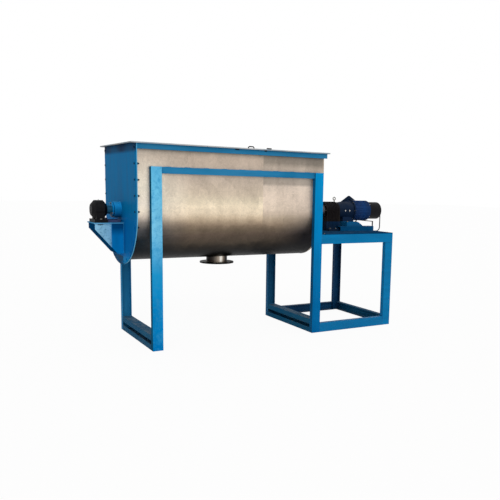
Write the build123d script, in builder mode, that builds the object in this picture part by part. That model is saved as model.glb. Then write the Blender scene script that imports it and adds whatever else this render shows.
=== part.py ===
from build123d import *
import math
import os

# Ribbon blender with a U-shaped trough, standing on channel legs, with a drive table at its right.
# Millimetres. +Z is up, X runs along the shaft from the outboard bearing to the motor, and -Y is the front.

os.makedirs("parts", exist_ok=True)

# Trough
TROUGH_LENGTH = 2500
TROUGH_RADIUS = 605
TROUGH_SHEET = 5
SHAFT_HEIGHT = 1630
RIM_HEIGHT = 2400
FLANGE_WIDTH = 50
FLANGE_THICK = 10
BOLT_PITCH = 180
BOLT_EDGE = 40
GASKET_THICK = 3
END_PLATE_THICK = 12
RIM_FACE = 65
RIM_THICK = 6
RIM_OVERRUN = 20

# Rolled channels of the frame
CHANNEL_DEPTH = 125
CHANNEL_FLANGE = 65
CHANNEL_WEB = 6
CHANNEL_THICK = 8
CHANNEL_ROOT = 7
RAIL_DEPTH = 75
RAIL_FLANGE = 40
LEG_BELOW_RIM = 255
LEFT_LEG_INSET = 160
RIGHT_LEG_INSET = 24
SILL_HEIGHT = 181

# Drive table
TABLE_TOP = 1331
TABLE_REACH = 1207
DECK_THICK = 10
DRIVE_BASE_LENGTH = 596
DRIVE_BASE_HALF = 225

# Covers
COVER_SPLIT = 835
COVER_PLATE = 4
COVER_SEAL = 6
COVER_OVERHANG = 50
COVER_SIDE = 25
COVER_LIP = 14
LID_SEAT_GAP = 0.3
BRIDGE_WIDTH = 64
BRIDGE_THICK = 12
HINGE_OFFSET = 12
HINGE_RISE = 9
KNUCKLE_RADIUS = 9
PIN_RADIUS = 4
KNUCKLE_WIDTH = 24
STRAP_THICK = 6

# Outlet
NECK_RADIUS = 136.5
NECK_WALL = 6
OUTLET_FACE = 936
OUTLET_FLANGE_RADIUS = 222.5
OUTLET_FLANGE_THICK = 16
OUTLET_BOLT_CIRCLE = 400
OUTLET_HOLE = 22
OUTLET_HOLES = 12

# Shaft line
SHAFT_RADIUS = 50
JOURNAL_RADIUS = 45
DRIVE_END_RADIUS = 40
SEAL_BOX_RADIUS = 95
SEAL_BOX_LENGTH = 82
PACKING_RADIUS = 66
PACKING_WIDTH = 15
PACKING_TURNS = 3
FOLLOWER_RADIUS = 88
FOLLOWER_THICK = 14
STUD_CIRCLE = 79
RUNNING_GAP = 0.3
BLOCK_WIDTH = 118
BLOCK_RADIUS = 112
BLOCK_RING_RADIUS = 80
BLOCK_FOOT_HALF = 140
BLOCK_FOOT_THICK = 37
BLOCK_DOME = 30
BLOCK_LONG_FOOT = 150
LEFT_BEARING_REACH = 252
RIGHT_BEARING_REACH = 185
SHELF_TOP = 1481
SHELF_REACH = 345
SHELF_HALF = 170
SHELF_PLATE = 12
SHELF_LIP = 12
SHELF_DROP = 370
TRAY_BACK = 54

# Agitator
RIBBON_CLEARANCE = 10
RIBBON_WIDTH = 60
RIBBON_THICK = 10
INNER_RIBBON_RADIUS = 300
RIBBON_TURNS = 1.05
RIBBON_END_GAP = 60
RIBBON_MIDDLE_GAP = 15
ARM_WIDTH = 30
ARM_THICK = 20
ARM_STATIONS = 5

# Drive
COUPLING_RADIUS = 85
COUPLING_HUB = 56
COUPLING_GAP = 24
GEARBOX_LENGTH = 230
GEARBOX_RADIUS = 120
GEARBOX_RIBS = 8
GEARBOX_FOOT_HALF = 185
GEARBOX_FOOT_LENGTH = 165
DRIVE_BASE_GAP = 10
ADAPTER_LENGTH = 231
ADAPTER_FLANGE_RADIUS = 170
ADAPTER_FLANGE_THICK = 20
MOTOR_FOOT_RISE = 64
MOTOR_LENGTH = 319
MOTOR_RADIUS = 140
FIN_HEIGHT = 8
FINS = 36
COWL_RADIUS = 127
COWL_LENGTH = 225
COWL_WALL = 2.5
ROTOR_SHAFT_RADIUS = 19
ROTOR_RADIUS = 74
FAN_RADIUS = 112
FAN_BLADES = 7
TERMINAL_BOX_START = 130
TERMINAL_BOX_LENGTH = 135
TERMINAL_BOX_ROOT = 100
TERMINAL_BOX_REACH = 225
LEAD_RADIUS = 8
LEAD_REACH = 190
LEAD_BEND = 66
LEAD_SIDE = 168

# Stations along X, measured from the trough's left end and shifted so that the whole part is centred.
END_FACE = GASKET_THICK + END_PLATE_THICK
LEG_HEIGHT = RIM_HEIGHT - LEG_BELOW_RIM
LEG_X_RIGHT = TROUGH_LENGTH - RIGHT_LEG_INSET - CHANNEL_DEPTH
TABLE_START = TROUGH_LENGTH - RIGHT_LEG_INSET
TABLE_END = TABLE_START + TABLE_REACH
DECK_START = TROUGH_LENGTH + END_FACE + 15
RIGHT_BEARING = TROUGH_LENGTH + END_FACE + RIGHT_BEARING_REACH
COUPLING_START = RIGHT_BEARING + BLOCK_WIDTH / 2 + 3
GEARBOX_START = COUPLING_START + 2 * COUPLING_HUB + COUPLING_GAP + 7
ADAPTER_START = GEARBOX_START + GEARBOX_LENGTH
DRIVE_BASE_START = GEARBOX_START + GEARBOX_FOOT_LENGTH + DRIVE_BASE_GAP
FLANGE_START = ADAPTER_START + ADAPTER_LENGTH
MOTOR_START = FLANGE_START + ADAPTER_FLANGE_THICK
MOTOR_END = MOTOR_START + MOTOR_LENGTH
COWL_START = MOTOR_END - 25
COWL_END = COWL_START + COWL_LENGTH
LEFT_MOST = -END_FACE - SHELF_REACH
RIGHT_MOST = COWL_END + LEAD_REACH + LEAD_RADIUS
X0 = -(LEFT_MOST + RIGHT_MOST) / 2

OUTER_RADIUS = TROUGH_RADIUS + TROUGH_SHEET
RIM_HALF = OUTER_RADIUS + FLANGE_WIDTH
FRAME_HALF = OUTER_RADIUS + CHANNEL_FLANGE
BOLT_LINE = OUTER_RADIUS + FLANGE_WIDTH / 2
COVER_HALF = RIM_HALF + COVER_SIDE
COVER_TOP = RIM_HEIGHT + COVER_SEAL + COVER_PLATE
DECK_TOP = TABLE_TOP + DECK_THICK
MIDDLE = X0 + TROUGH_LENGTH / 2
SHAFT_AXIS = Axis((0, 0, SHAFT_HEIGHT), (1, 0, 0))


def save(part, label):
    part.label = label
    export_step(part, "parts/" + label + ".step")


def across(x):
    """The plane at right angles to the shaft, its origin on the shaft."""
    return Plane(origin=(X0 + x, 0, SHAFT_HEIGHT), x_dir=(0, 1, 0), z_dir=(1, 0, 0))


def channel(origin, flange_dir, run_dir, length, depth=CHANNEL_DEPTH, flange=CHANNEL_FLANGE):
    """A rolled channel, its web's outer face centred on origin and its flanges towards flange_dir."""
    toe = Vector(*flange_dir)
    run = Vector(*run_dir)
    plane = Plane(origin=origin, x_dir=toe.cross(run), z_dir=run)
    half = depth / 2
    inner = half - CHANNEL_THICK
    web = CHANNEL_WEB
    root = CHANNEL_ROOT
    bite = root * (1 - math.sqrt(0.5))
    with BuildPart() as bar:
        with BuildSketch(plane):
            with BuildLine():
                Polyline((inner, web + root), (inner, flange), (half, flange), (half, 0), (-half, 0))
                Polyline((-half, 0), (-half, flange), (-inner, flange), (-inner, web + root))
                ThreePointArc((-inner, web + root), (-inner + bite, web + bite), (-inner + root, web))
                Line((-inner + root, web), (inner - root, web))
                ThreePointArc((inner - root, web), (inner - bite, web + bite), (inner, web + root))
            make_face()
        extrude(amount=length)
    return bar.part


def u_outline(radius, top=RIM_HEIGHT):
    """The trough's U of the given radius, as a sketch whose origin is on the shaft."""
    rise = top - SHAFT_HEIGHT
    with BuildSketch() as outline:
        with BuildLine():
            Polyline((-radius, 0), (-radius, rise), (radius, rise), (radius, 0))
            ThreePointArc((radius, 0), (0, -radius), (-radius, 0))
        make_face()
    return outline.sketch


def flange_bolts():
    """Places of the end bolts round the U, across and up from the shaft."""
    spots = []
    upper = int((RIM_HEIGHT - SHAFT_HEIGHT - BOLT_EDGE) / BOLT_PITCH) + 1
    for step in range(upper):
        spots.append((BOLT_LINE, BOLT_PITCH * step))
        spots.append((-BOLT_LINE, BOLT_PITCH * step))
    lower = round(math.pi * BOLT_LINE / BOLT_PITCH)
    for step in range(1, lower):
        turn = math.radians(180 / lower * step)
        spots.append((BOLT_LINE * math.cos(turn), -BOLT_LINE * math.sin(turn)))
    return spots


INSIDE_U = u_outline(TROUGH_RADIUS, RIM_HEIGHT + 1)
SHELL_U = u_outline(OUTER_RADIUS)
SHELL_U_OPEN = u_outline(OUTER_RADIUS, RIM_HEIGHT + 1)
GASKET_U = u_outline(BOLT_LINE - 8)
END_U = u_outline(RIM_HALF)
BOLT_PLACES = flange_bolts()

# Frame under the trough

for side, y in (("front", -FRAME_HALF), ("rear", FRAME_HALF)):
    inward = (0, -math.copysign(1, y), 0)
    for end, x in (("left", LEFT_LEG_INSET), ("right", LEG_X_RIGHT)):
        foot = (X0 + x + CHANNEL_DEPTH / 2, y, 0)
        save(channel(foot, inward, (0, 0, 1), LEG_HEIGHT), "leg_" + side + "_" + end)

for end, x in (("left", LEFT_LEG_INSET), ("right", LEG_X_RIGHT)):
    place = X0 + x + CHANNEL_DEPTH / 2
    lower = channel((place, -OUTER_RADIUS, 0), (0, 0, 1), (0, 1, 0), 2 * OUTER_RADIUS)
    upper = channel((place, -OUTER_RADIUS, SILL_HEIGHT), (0, 0, -1), (0, 1, 0), 2 * OUTER_RADIUS)
    with BuildPart() as end_sill:
        add(lower)
        add(upper)
    save(end_sill.part, "end_sill_" + end)

rail_start = X0 + LEFT_LEG_INSET + CHANNEL_DEPTH
rail_length = LEG_X_RIGHT - LEFT_LEG_INSET - CHANNEL_DEPTH
rail_z = LEG_HEIGHT - RAIL_DEPTH / 2
for side, sign in (("front", -1), ("rear", 1)):
    start = (rail_start, sign * (OUTER_RADIUS + RAIL_FLANGE), rail_z)
    bar = channel(start, (0, -sign, 0), (1, 0, 0), rail_length, RAIL_DEPTH, RAIL_FLANGE)
    save(bar, "side_rail_" + side)

# Drive table

leg_x = TABLE_END - CHANNEL_DEPTH
table_sill_bars = []
for side, sign in (("front", -1), ("rear", 1)):
    y = sign * FRAME_HALF
    inward = (0, -sign, 0)
    top_start = (X0 + TABLE_START, y, TABLE_TOP - CHANNEL_DEPTH / 2)
    save(channel(top_start, inward, (1, 0, 0), TABLE_END - TABLE_START), "table_rail_" + side)
    foot = (X0 + leg_x + CHANNEL_DEPTH / 2, y, 0)
    save(channel(foot, inward, (0, 0, 1), TABLE_TOP - CHANNEL_DEPTH), "table_leg_" + side)
    low_start = (X0 + TABLE_START, y, CHANNEL_DEPTH / 2)
    table_sill_bars.append(channel(low_start, inward, (1, 0, 0), leg_x - TABLE_START))
with BuildPart() as table_sills:
    for bar in table_sill_bars:
        add(bar)
save(table_sills.part, "table_sills")

beam_y = -FRAME_HALF + CHANNEL_FLANGE
with BuildPart() as table_end_beams:
    for z in (TABLE_TOP - CHANNEL_DEPTH / 2, CHANNEL_DEPTH / 2):
        add(channel((X0 + TABLE_END, beam_y, z), (-1, 0, 0), (0, 1, 0), -2 * beam_y))
save(table_end_beams.part, "table_end_beams")

with BuildPart() as drive_deck:
    with BuildSketch(Plane.XY.offset(TABLE_TOP)):
        with Locations((X0 + (DECK_START + TABLE_END) / 2, 0)):
            Rectangle(TABLE_END - DECK_START, 2 * FRAME_HALF)
    extrude(amount=DECK_THICK)
save(drive_deck.part, "drive_deck")

# Two channels on their toes carry the motor's end of the drive.
base_top = DECK_TOP + CHANNEL_FLANGE
with BuildPart() as drive_base:
    for sign in (-1, 1):
        y = sign * (DRIVE_BASE_HALF - CHANNEL_DEPTH / 2)
        add(channel((X0 + DRIVE_BASE_START, y, base_top), (0, 0, -1), (1, 0, 0), DRIVE_BASE_LENGTH))
save(drive_base.part, "drive_base")

# Trough

with BuildPart() as outlet_cutter:
    with BuildSketch(Plane.XY.offset(OUTLET_FACE)):
        with Locations((MIDDLE, 0)):
            Circle(NECK_RADIUS - NECK_WALL)
    extrude(amount=SHAFT_HEIGHT - OUTLET_FACE)

with BuildPart() as trough_shell:
    with BuildSketch(across(0)):
        add(SHELL_U)
    extrude(amount=TROUGH_LENGTH)
    with BuildSketch(across(0)):
        add(INSIDE_U)
    extrude(amount=TROUGH_LENGTH, mode=Mode.SUBTRACT)
    add(outlet_cutter.part, mode=Mode.SUBTRACT)
save(trough_shell.part, "trough_shell")

with BuildPart() as trough_solid:
    with BuildSketch(across(0)):
        add(SHELL_U)
    extrude(amount=TROUGH_LENGTH)

with BuildPart() as outlet_spout:
    with BuildSketch(Plane.XY.offset(OUTLET_FACE)):
        with Locations((MIDDLE, 0)):
            Circle(NECK_RADIUS)
    extrude(amount=SHAFT_HEIGHT - OUTER_RADIUS + 60 - OUTLET_FACE)
    with BuildSketch(Plane.XY.offset(OUTLET_FACE)):
        with Locations((MIDDLE, 0)):
            Circle(OUTLET_FLANGE_RADIUS)
            with PolarLocations(OUTLET_BOLT_CIRCLE / 2, OUTLET_HOLES, start_angle=180 / OUTLET_HOLES):
                Circle(OUTLET_HOLE / 2, mode=Mode.SUBTRACT)
    extrude(amount=OUTLET_FLANGE_THICK)
    add(outlet_cutter.part, mode=Mode.SUBTRACT)
    add(trough_solid.part, mode=Mode.SUBTRACT)
save(outlet_spout.part, "outlet_spout")

# Only the left end is bolted; the right end's plate is welded flush with the shell.
with BuildPart() as trough_flange:
    with BuildSketch(across(0)):
        add(END_U)
        add(SHELL_U_OPEN, mode=Mode.SUBTRACT)
        with Locations(*BOLT_PLACES):
            Circle(6.5, mode=Mode.SUBTRACT)
    extrude(amount=FLANGE_THICK)
save(trough_flange.part, "trough_flange")

with BuildPart() as rim_bar:
    with BuildSketch(across(FLANGE_THICK)):
        rise = RIM_HEIGHT - SHAFT_HEIGHT
        drop = rise - RIM_FACE
        with BuildLine():
            Polyline((OUTER_RADIUS, rise), (RIM_HALF, rise), (RIM_HALF, drop), (RIM_HALF - RIM_THICK, drop))
            Polyline((RIM_HALF - RIM_THICK, drop), (RIM_HALF - RIM_THICK, rise - RIM_THICK))
            Polyline((RIM_HALF - RIM_THICK, rise - RIM_THICK), (OUTER_RADIUS, rise - RIM_THICK))
            Line((OUTER_RADIUS, rise - RIM_THICK), (OUTER_RADIUS, rise))
        make_face()
    extrude(amount=TROUGH_LENGTH + END_FACE + RIM_OVERRUN - FLANGE_THICK)
with BuildPart() as rim_front:
    mirror(rim_bar.part, about=Plane.XZ)
save(rim_bar.part, "rim_rear")
save(rim_front.part, "rim_front")

with BuildPart() as end_plate_left:
    with BuildSketch(across(-END_FACE)):
        add(END_U)
        Circle(SHAFT_RADIUS + 2, mode=Mode.SUBTRACT)
        with Locations(*BOLT_PLACES):
            Circle(6.5, mode=Mode.SUBTRACT)
    extrude(amount=END_PLATE_THICK)
save(end_plate_left.part, "end_plate_left")

with BuildPart() as end_plate_right:
    with BuildSketch(across(TROUGH_LENGTH)):
        add(SHELL_U)
        Circle(SHAFT_RADIUS + 2, mode=Mode.SUBTRACT)
    extrude(amount=END_FACE)
save(end_plate_right.part, "end_plate_right")

with BuildPart() as end_gasket:
    with BuildSketch(across(-GASKET_THICK)):
        add(GASKET_U)
        add(INSIDE_U, mode=Mode.SUBTRACT)
    extrude(amount=GASKET_THICK)
save(end_gasket.part, "end_gasket")

bolt_grip = FLANGE_THICK + END_FACE
with BuildPart() as end_bolts:
    with BuildSketch(across(-END_FACE)):
        with Locations(*BOLT_PLACES):
            RegularPolygon(11, 6)
    extrude(amount=-8)
    with BuildSketch(across(-END_FACE)):
        with Locations(*BOLT_PLACES):
            Circle(6)
    extrude(amount=bolt_grip)
    with BuildSketch(across(FLANGE_THICK)):
        with Locations(*BOLT_PLACES):
            RegularPolygon(11, 6)
    extrude(amount=10)
save(end_bolts.part, "end_bolts")

# Covers: a fixed one over the left third and a hinged lid over the rest

with BuildPart() as cover_bridge:
    with BuildSketch(Plane.XY.offset(RIM_HEIGHT - BRIDGE_THICK)):
        with Locations((X0 + COVER_SPLIT, 0)):
            Rectangle(BRIDGE_WIDTH, 2 * TROUGH_RADIUS)
    extrude(amount=BRIDGE_THICK)
save(cover_bridge.part, "cover_bridge")


def seal_frame(x_from, x_to, rim_from, rim_to, bottom, thick):
    """A flat gasket frame between two stations, with its own edge widths at the two ends."""
    with BuildPart() as seal:
        with BuildSketch(Plane.XY.offset(bottom)):
            with Locations((X0 + (x_from + x_to) / 2, 0)):
                Rectangle(x_to - x_from, 2 * (RIM_HALF - 5))
            hole_from = x_from + rim_from
            hole_to = x_to - rim_to
            with Locations((X0 + (hole_from + hole_to) / 2, 0)):
                Rectangle(hole_to - hole_from, 2 * (OUTER_RADIUS + 5), mode=Mode.SUBTRACT)
        extrude(amount=thick)
    return seal.part


cover_left = -END_FACE - COVER_OVERHANG
cover_right = TROUGH_LENGTH + END_FACE + COVER_OVERHANG
plate_bottom = RIM_HEIGHT + COVER_SEAL
save(seal_frame(-END_FACE + 2, COVER_SPLIT - 4, 24, 24, RIM_HEIGHT, COVER_SEAL), "cover_gasket")
lid_seal_z = RIM_HEIGHT + LID_SEAT_GAP
lid_seal = seal_frame(
    COVER_SPLIT + 4, TROUGH_LENGTH + END_FACE - 2, 24, 24, lid_seal_z, COVER_SEAL - LID_SEAT_GAP
)
save(lid_seal, "lid_gasket")

with BuildPart() as fixed_cover:
    cover_middle = X0 + (cover_left + COVER_SPLIT - 2) / 2
    cover_span = COVER_SPLIT - 2 - cover_left
    with BuildSketch(Plane.XY.offset(plate_bottom)):
        with Locations((cover_middle, 0)):
            Rectangle(cover_span, 2 * COVER_HALF)
    extrude(amount=COVER_PLATE)
    lip_z = COVER_TOP - COVER_LIP / 2
    with Locations((cover_middle, -COVER_HALF + 2, lip_z), (cover_middle, COVER_HALF - 2, lip_z)):
        Box(cover_span, 4, COVER_LIP)
    with Locations((X0 + cover_left + 2, 0, lip_z)):
        Box(4, 2 * COVER_HALF, COVER_LIP)
save(fixed_cover.part, "fixed_cover")

# The lid's rear edge stops short of the hinge line, so that it swings up clear of the rim.
lid_rear = RIM_HALF - 5
with BuildPart() as hinged_lid:
    lid_middle = X0 + (COVER_SPLIT + 2 + cover_right) / 2
    lid_span = cover_right - COVER_SPLIT - 2
    with BuildSketch(Plane.XY.offset(plate_bottom)):
        with Locations((lid_middle, (lid_rear - COVER_HALF) / 2)):
            Rectangle(lid_span, lid_rear + COVER_HALF)
    extrude(amount=COVER_PLATE)
    lip_z = COVER_TOP - COVER_LIP / 2
    with Locations((lid_middle, -COVER_HALF + 2, lip_z)):
        Box(lid_span, 4, COVER_LIP)
    with Locations((X0 + cover_right - 2, (lid_rear - COVER_HALF) / 2, lip_z)):
        Box(4, lid_rear + COVER_HALF, COVER_LIP)
save(hinged_lid.part, "hinged_lid")

hinge_y = RIM_HALF + HINGE_OFFSET
hinge_z = COVER_TOP + HINGE_RISE
hinge_places = [X0 + COVER_SPLIT + 215, lid_middle, X0 + cover_right - 215]
knuckle_gap = 1

with BuildPart() as hinge_brackets:
    for place in hinge_places:
        for sign in (-1, 1):
            x = place + sign * (KNUCKLE_WIDTH + knuckle_gap)
            with Locations((x, RIM_HALF + 3, (RIM_HEIGHT - 50 + hinge_z) / 2)):
                Box(KNUCKLE_WIDTH, 6, hinge_z - RIM_HEIGHT + 50)
            with Locations(Location((x, hinge_y, hinge_z), (0, 90, 0))):
                Cylinder(KNUCKLE_RADIUS, KNUCKLE_WIDTH)
        with Locations((place, RIM_HALF + 3, RIM_HEIGHT - 30)):
            Box(3 * KNUCKLE_WIDTH + 2 * knuckle_gap, 6, 40)
        with Locations(Location((place, hinge_y, hinge_z), (0, 90, 0))):
            Cylinder(PIN_RADIUS, 3 * KNUCKLE_WIDTH + 2 * knuckle_gap + 6)
save(hinge_brackets.part, "hinge_brackets")

with BuildPart() as hinge_straps:
    for place in hinge_places:
        with Locations((place, (lid_rear - 90 + hinge_y) / 2, COVER_TOP + STRAP_THICK / 2)):
            Box(KNUCKLE_WIDTH, hinge_y - lid_rear + 90, STRAP_THICK)
        with Locations(Location((place, hinge_y, hinge_z), (0, 90, 0))):
            Cylinder(KNUCKLE_RADIUS, KNUCKLE_WIDTH)
            Cylinder(PIN_RADIUS + RUNNING_GAP, KNUCKLE_WIDTH, mode=Mode.SUBTRACT)
save(hinge_straps.part, "hinge_straps")

# A bowed bar near the lid's middle and a small grip at its front edge
with BuildPart() as lid_handle:
    bar_y = -300
    bar_top = COVER_TOP + 45
    bar_x = lid_middle - 106
    with Locations((lid_middle - 40, -COVER_HALF + 17, COVER_TOP + 7.5)):
        Box(58, 24, 15)
    fillet(lid_handle.edges().filter_by(Axis.X).group_by(Axis.Z)[-1], 5)
    with BuildLine() as bow:
        FilletPolyline(
            (bar_x - 40, bar_y, COVER_TOP),
            (bar_x - 40, bar_y, bar_top),
            (bar_x + 40, bar_y, bar_top),
            (bar_x + 40, bar_y, COVER_TOP),
            radius=20,
        )
    with BuildSketch(Plane(origin=bow.wire() @ 0, z_dir=bow.wire() % 0)):
        Circle(7)
    sweep()
save(lid_handle.part, "lid_handle")

# Shaft seals: box, packing, follower and studs at both ends

seal_ends = ((-END_FACE, -1), (TROUGH_LENGTH + END_FACE, 1))
throat = SEAL_BOX_LENGTH - 20 - PACKING_TURNS * PACKING_WIDTH

with BuildPart() as stuffing_boxes:
    for face, out in seal_ends:
        with BuildSketch(across(face)):
            Circle(SEAL_BOX_RADIUS)
            Circle(SHAFT_RADIUS + 1, mode=Mode.SUBTRACT)
        extrude(amount=out * SEAL_BOX_LENGTH)
        with BuildSketch(across(face + out * throat)):
            Circle(PACKING_RADIUS)
        extrude(amount=out * SEAL_BOX_LENGTH, mode=Mode.SUBTRACT)
        with BuildSketch(across(face + out * (SEAL_BOX_LENGTH - 30))):
            with PolarLocations(STUD_CIRCLE, 3, start_angle=90):
                Circle(5)
        extrude(amount=out * 30, mode=Mode.SUBTRACT)
save(stuffing_boxes.part, "stuffing_boxes")

with BuildPart() as packing_rings:
    for face, out in seal_ends:
        for turn in range(PACKING_TURNS):
            with BuildSketch(across(face + out * (throat + PACKING_WIDTH * turn + 0.15))):
                Circle(PACKING_RADIUS)
                Circle(SHAFT_RADIUS + RUNNING_GAP, mode=Mode.SUBTRACT)
            extrude(amount=out * (PACKING_WIDTH - 0.3))
save(packing_rings.part, "packing_rings")

follower_face = SEAL_BOX_LENGTH + 7
with BuildPart() as gland_followers:
    for face, out in seal_ends:
        with BuildSketch(across(face + out * follower_face)):
            Circle(FOLLOWER_RADIUS)
            with PolarLocations(STUD_CIRCLE, 3, start_angle=90):
                Circle(5.5, mode=Mode.SUBTRACT)
        extrude(amount=out * FOLLOWER_THICK)
        with BuildSketch(across(face + out * (throat + PACKING_TURNS * PACKING_WIDTH))):
            Circle(PACKING_RADIUS - 0.3)
        extrude(amount=out * (follower_face - throat - PACKING_TURNS * PACKING_WIDTH))
        with BuildSketch(across(face)):
            Circle(SHAFT_RADIUS + 1)
        extrude(amount=out * (SEAL_BOX_LENGTH + 40), mode=Mode.SUBTRACT)
save(gland_followers.part, "gland_followers")

stud_nut = follower_face + FOLLOWER_THICK
with BuildPart() as gland_studs:
    for face, out in seal_ends:
        with BuildSketch(across(face + out * (SEAL_BOX_LENGTH - 30))):
            with PolarLocations(STUD_CIRCLE, 3, start_angle=90):
                Circle(5)
        extrude(amount=out * (stud_nut + 20 - SEAL_BOX_LENGTH + 30))
        with BuildSketch(across(face + out * stud_nut)):
            with PolarLocations(STUD_CIRCLE, 3, start_angle=90):
                RegularPolygon(9.8, 6)
        extrude(amount=out * 8)
save(gland_studs.part, "gland_studs")

# Left bearing shelf: a welded box with a sloping face, open towards the end plate

shelf_wall = 12
shelf_nose = 62
with BuildPart() as bearing_bracket:
    tip = X0 - END_FACE - SHELF_REACH
    nose = tip + SHELF_LIP
    wall = X0 - END_FACE
    low = SHELF_TOP - SHELF_DROP
    gusset = SHELF_HALF - SHELF_LIP
    with BuildSketch(Plane.XZ):
        with BuildLine():
            Polyline(
                (nose, SHELF_TOP),
                (wall, SHELF_TOP),
                (wall, low),
                (wall - 75, low),
                (nose, SHELF_TOP - shelf_nose - 14),
                close=True,
            )
        make_face()
    extrude(amount=gusset, both=True)
    with BuildSketch(Plane.XZ):
        with BuildLine():
            Polyline(
                (nose + shelf_wall, SHELF_TOP - SHELF_PLATE),
                (wall, SHELF_TOP - SHELF_PLATE),
                (wall, low + shelf_wall),
                (wall - 70, low + shelf_wall),
                (nose + shelf_wall, SHELF_TOP - shelf_nose - 8),
                close=True,
            )
        make_face()
    extrude(amount=gusset - shelf_wall, both=True, mode=Mode.SUBTRACT)
    with Locations(((tip + wall) / 2, 0, SHELF_TOP - SHELF_PLATE / 2)):
        Box(wall - tip, 2 * SHELF_HALF, SHELF_PLATE)
    with Locations((nose + 62, -gusset, SHELF_TOP - SHELF_PLATE - 10)):
        Box(62, 40, 9, mode=Mode.SUBTRACT)
save(bearing_bracket.part, "bearing_bracket")

# Drip tray under the left seal
with BuildPart() as drip_tray:
    tray_from = wall - 170
    tray_to = wall - 12
    with Locations(((tray_from + tray_to) / 2, 0, SHELF_TOP + 15)):
        Box(tray_to - tray_from, 150, 30)
    with Locations(((tray_from + tray_to) / 2, 0, SHELF_TOP + 18)):
        Box(tray_to - tray_from - 5, 145, 30, mode=Mode.SUBTRACT)
    with Locations((tray_from + 2, 0, SHELF_TOP + TRAY_BACK / 2)):
        Box(4, 150, TRAY_BACK)
save(drip_tray.part, "drip_tray")

# Right bearing pedestal on the deck
with BuildPart() as bearing_pedestal:
    pedestal_x = X0 + RIGHT_BEARING
    height = SHELF_TOP - DECK_TOP
    with Locations((pedestal_x, 0, DECK_TOP + 7), (pedestal_x, 0, SHELF_TOP - 7)):
        Box(130, 2 * SHELF_HALF, 14)
    with Locations((pedestal_x - 50, 0, DECK_TOP + height / 2), (pedestal_x + 50, 0, DECK_TOP + height / 2)):
        Box(12, 2 * SHELF_HALF - 30, height)
    with Locations((pedestal_x, 0, DECK_TOP + height / 2)):
        Box(100, 12, height)
save(bearing_pedestal.part, "bearing_pedestal")


def bearing_block(station, closed):
    """A plummer block across the shaft; the outboard one has a blind end."""
    start = station - BLOCK_WIDTH / 2
    end = station + BLOCK_WIDTH / 2
    centre = SHAFT_HEIGHT - SHELF_TOP
    foot_long = BLOCK_LONG_FOOT if closed else BLOCK_WIDTH
    with BuildPart() as block:
        with BuildSketch(across(start)):
            Circle(BLOCK_RADIUS)
        extrude(amount=BLOCK_WIDTH)
        chamfer(block.edges().filter_by(GeomType.CIRCLE), 10)
        with BuildSketch(across(start + 10)):
            with Locations((0, -centre / 2)):
                Rectangle(2 * BLOCK_RADIUS - 12, centre)
            Rectangle(2 * BLOCK_RADIUS + 8, 34)
        extrude(amount=BLOCK_WIDTH - 20)
        with BuildSketch(across(station - foot_long / 2)):
            with Locations((0, -centre + BLOCK_FOOT_THICK / 2)):
                Rectangle(2 * BLOCK_FOOT_HALF, BLOCK_FOOT_THICK)
        extrude(amount=foot_long)
        if closed:
            for face, nose in ((start, start - BLOCK_DOME), (end, end + BLOCK_DOME)):
                with BuildSketch(across(face)):
                    Circle(BLOCK_RADIUS - 11)
                with BuildSketch(across(nose)):
                    Circle(BLOCK_RADIUS - 46)
                loft()
            with BuildSketch(across(station)):
                Circle(SHAFT_RADIUS + 1)
            extrude(amount=BLOCK_WIDTH, mode=Mode.SUBTRACT)
        with BuildSketch(Plane.XY.offset(SHELF_TOP)):
            with Locations((X0 + station, -BLOCK_FOOT_HALF + 16), (X0 + station, BLOCK_FOOT_HALF - 16)):
                Circle(9)
        extrude(amount=BLOCK_FOOT_THICK + 1, mode=Mode.SUBTRACT)
        with BuildSketch(across(start + (10 if closed else -1))):
            Circle(BLOCK_RING_RADIUS)
        extrude(amount=BLOCK_WIDTH - 12 if closed else BLOCK_WIDTH + 2, mode=Mode.SUBTRACT)
    return block.part


left_station = -END_FACE - LEFT_BEARING_REACH
save(bearing_block(left_station, True), "bearing_block_left")
save(bearing_block(RIGHT_BEARING, False), "bearing_block_right")

with BuildPart() as bearing_rings:
    for station in (left_station, RIGHT_BEARING):
        with BuildSketch(across(station - 40)):
            Circle(BLOCK_RING_RADIUS)
            Circle(JOURNAL_RADIUS + RUNNING_GAP, mode=Mode.SUBTRACT)
        extrude(amount=80)
save(bearing_rings.part, "bearing_rings")

foot_top = SHELF_TOP + BLOCK_FOOT_THICK
with BuildPart() as hold_down_bolts:
    for station in (left_station, RIGHT_BEARING):
        for sign in (-1, 1):
            spot = (X0 + station, sign * (BLOCK_FOOT_HALF - 16))
            with BuildSketch(Plane.XY.offset(SHELF_TOP)):
                with Locations(spot):
                    Circle(8)
            extrude(amount=BLOCK_FOOT_THICK)
            with BuildSketch(Plane.XY.offset(foot_top)):
                with Locations(spot):
                    RegularPolygon(14, 6)
            extrude(amount=11)
save(hold_down_bolts.part, "hold_down_bolts")

# Agitator shaft, from the blind end of the left bearing to the coupling

left_stop = left_station - BLOCK_WIDTH / 2 + 16
left_step = left_station + BLOCK_WIDTH / 2 + 6
right_step = RIGHT_BEARING - BLOCK_WIDTH / 2 - 6
hub_step = RIGHT_BEARING + BLOCK_WIDTH / 2 + 2
shaft_spans = (
    (left_stop, left_step, JOURNAL_RADIUS),
    (left_step, right_step, SHAFT_RADIUS),
    (right_step, hub_step, JOURNAL_RADIUS),
    (hub_step, COUPLING_START + COUPLING_HUB, DRIVE_END_RADIUS),
)
with BuildPart() as agitator_shaft:
    for begin, finish, radius in shaft_spans:
        with BuildSketch(across(begin)):
            Circle(radius)
        extrude(amount=finish - begin)
save(agitator_shaft.part, "agitator_shaft")

# The ribbons: outer flights of one hand and inner flights of the other, two of each in each half of the
# trough, the halves mirrored so that the outer flights carry the product to the outlet in the middle.

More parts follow.
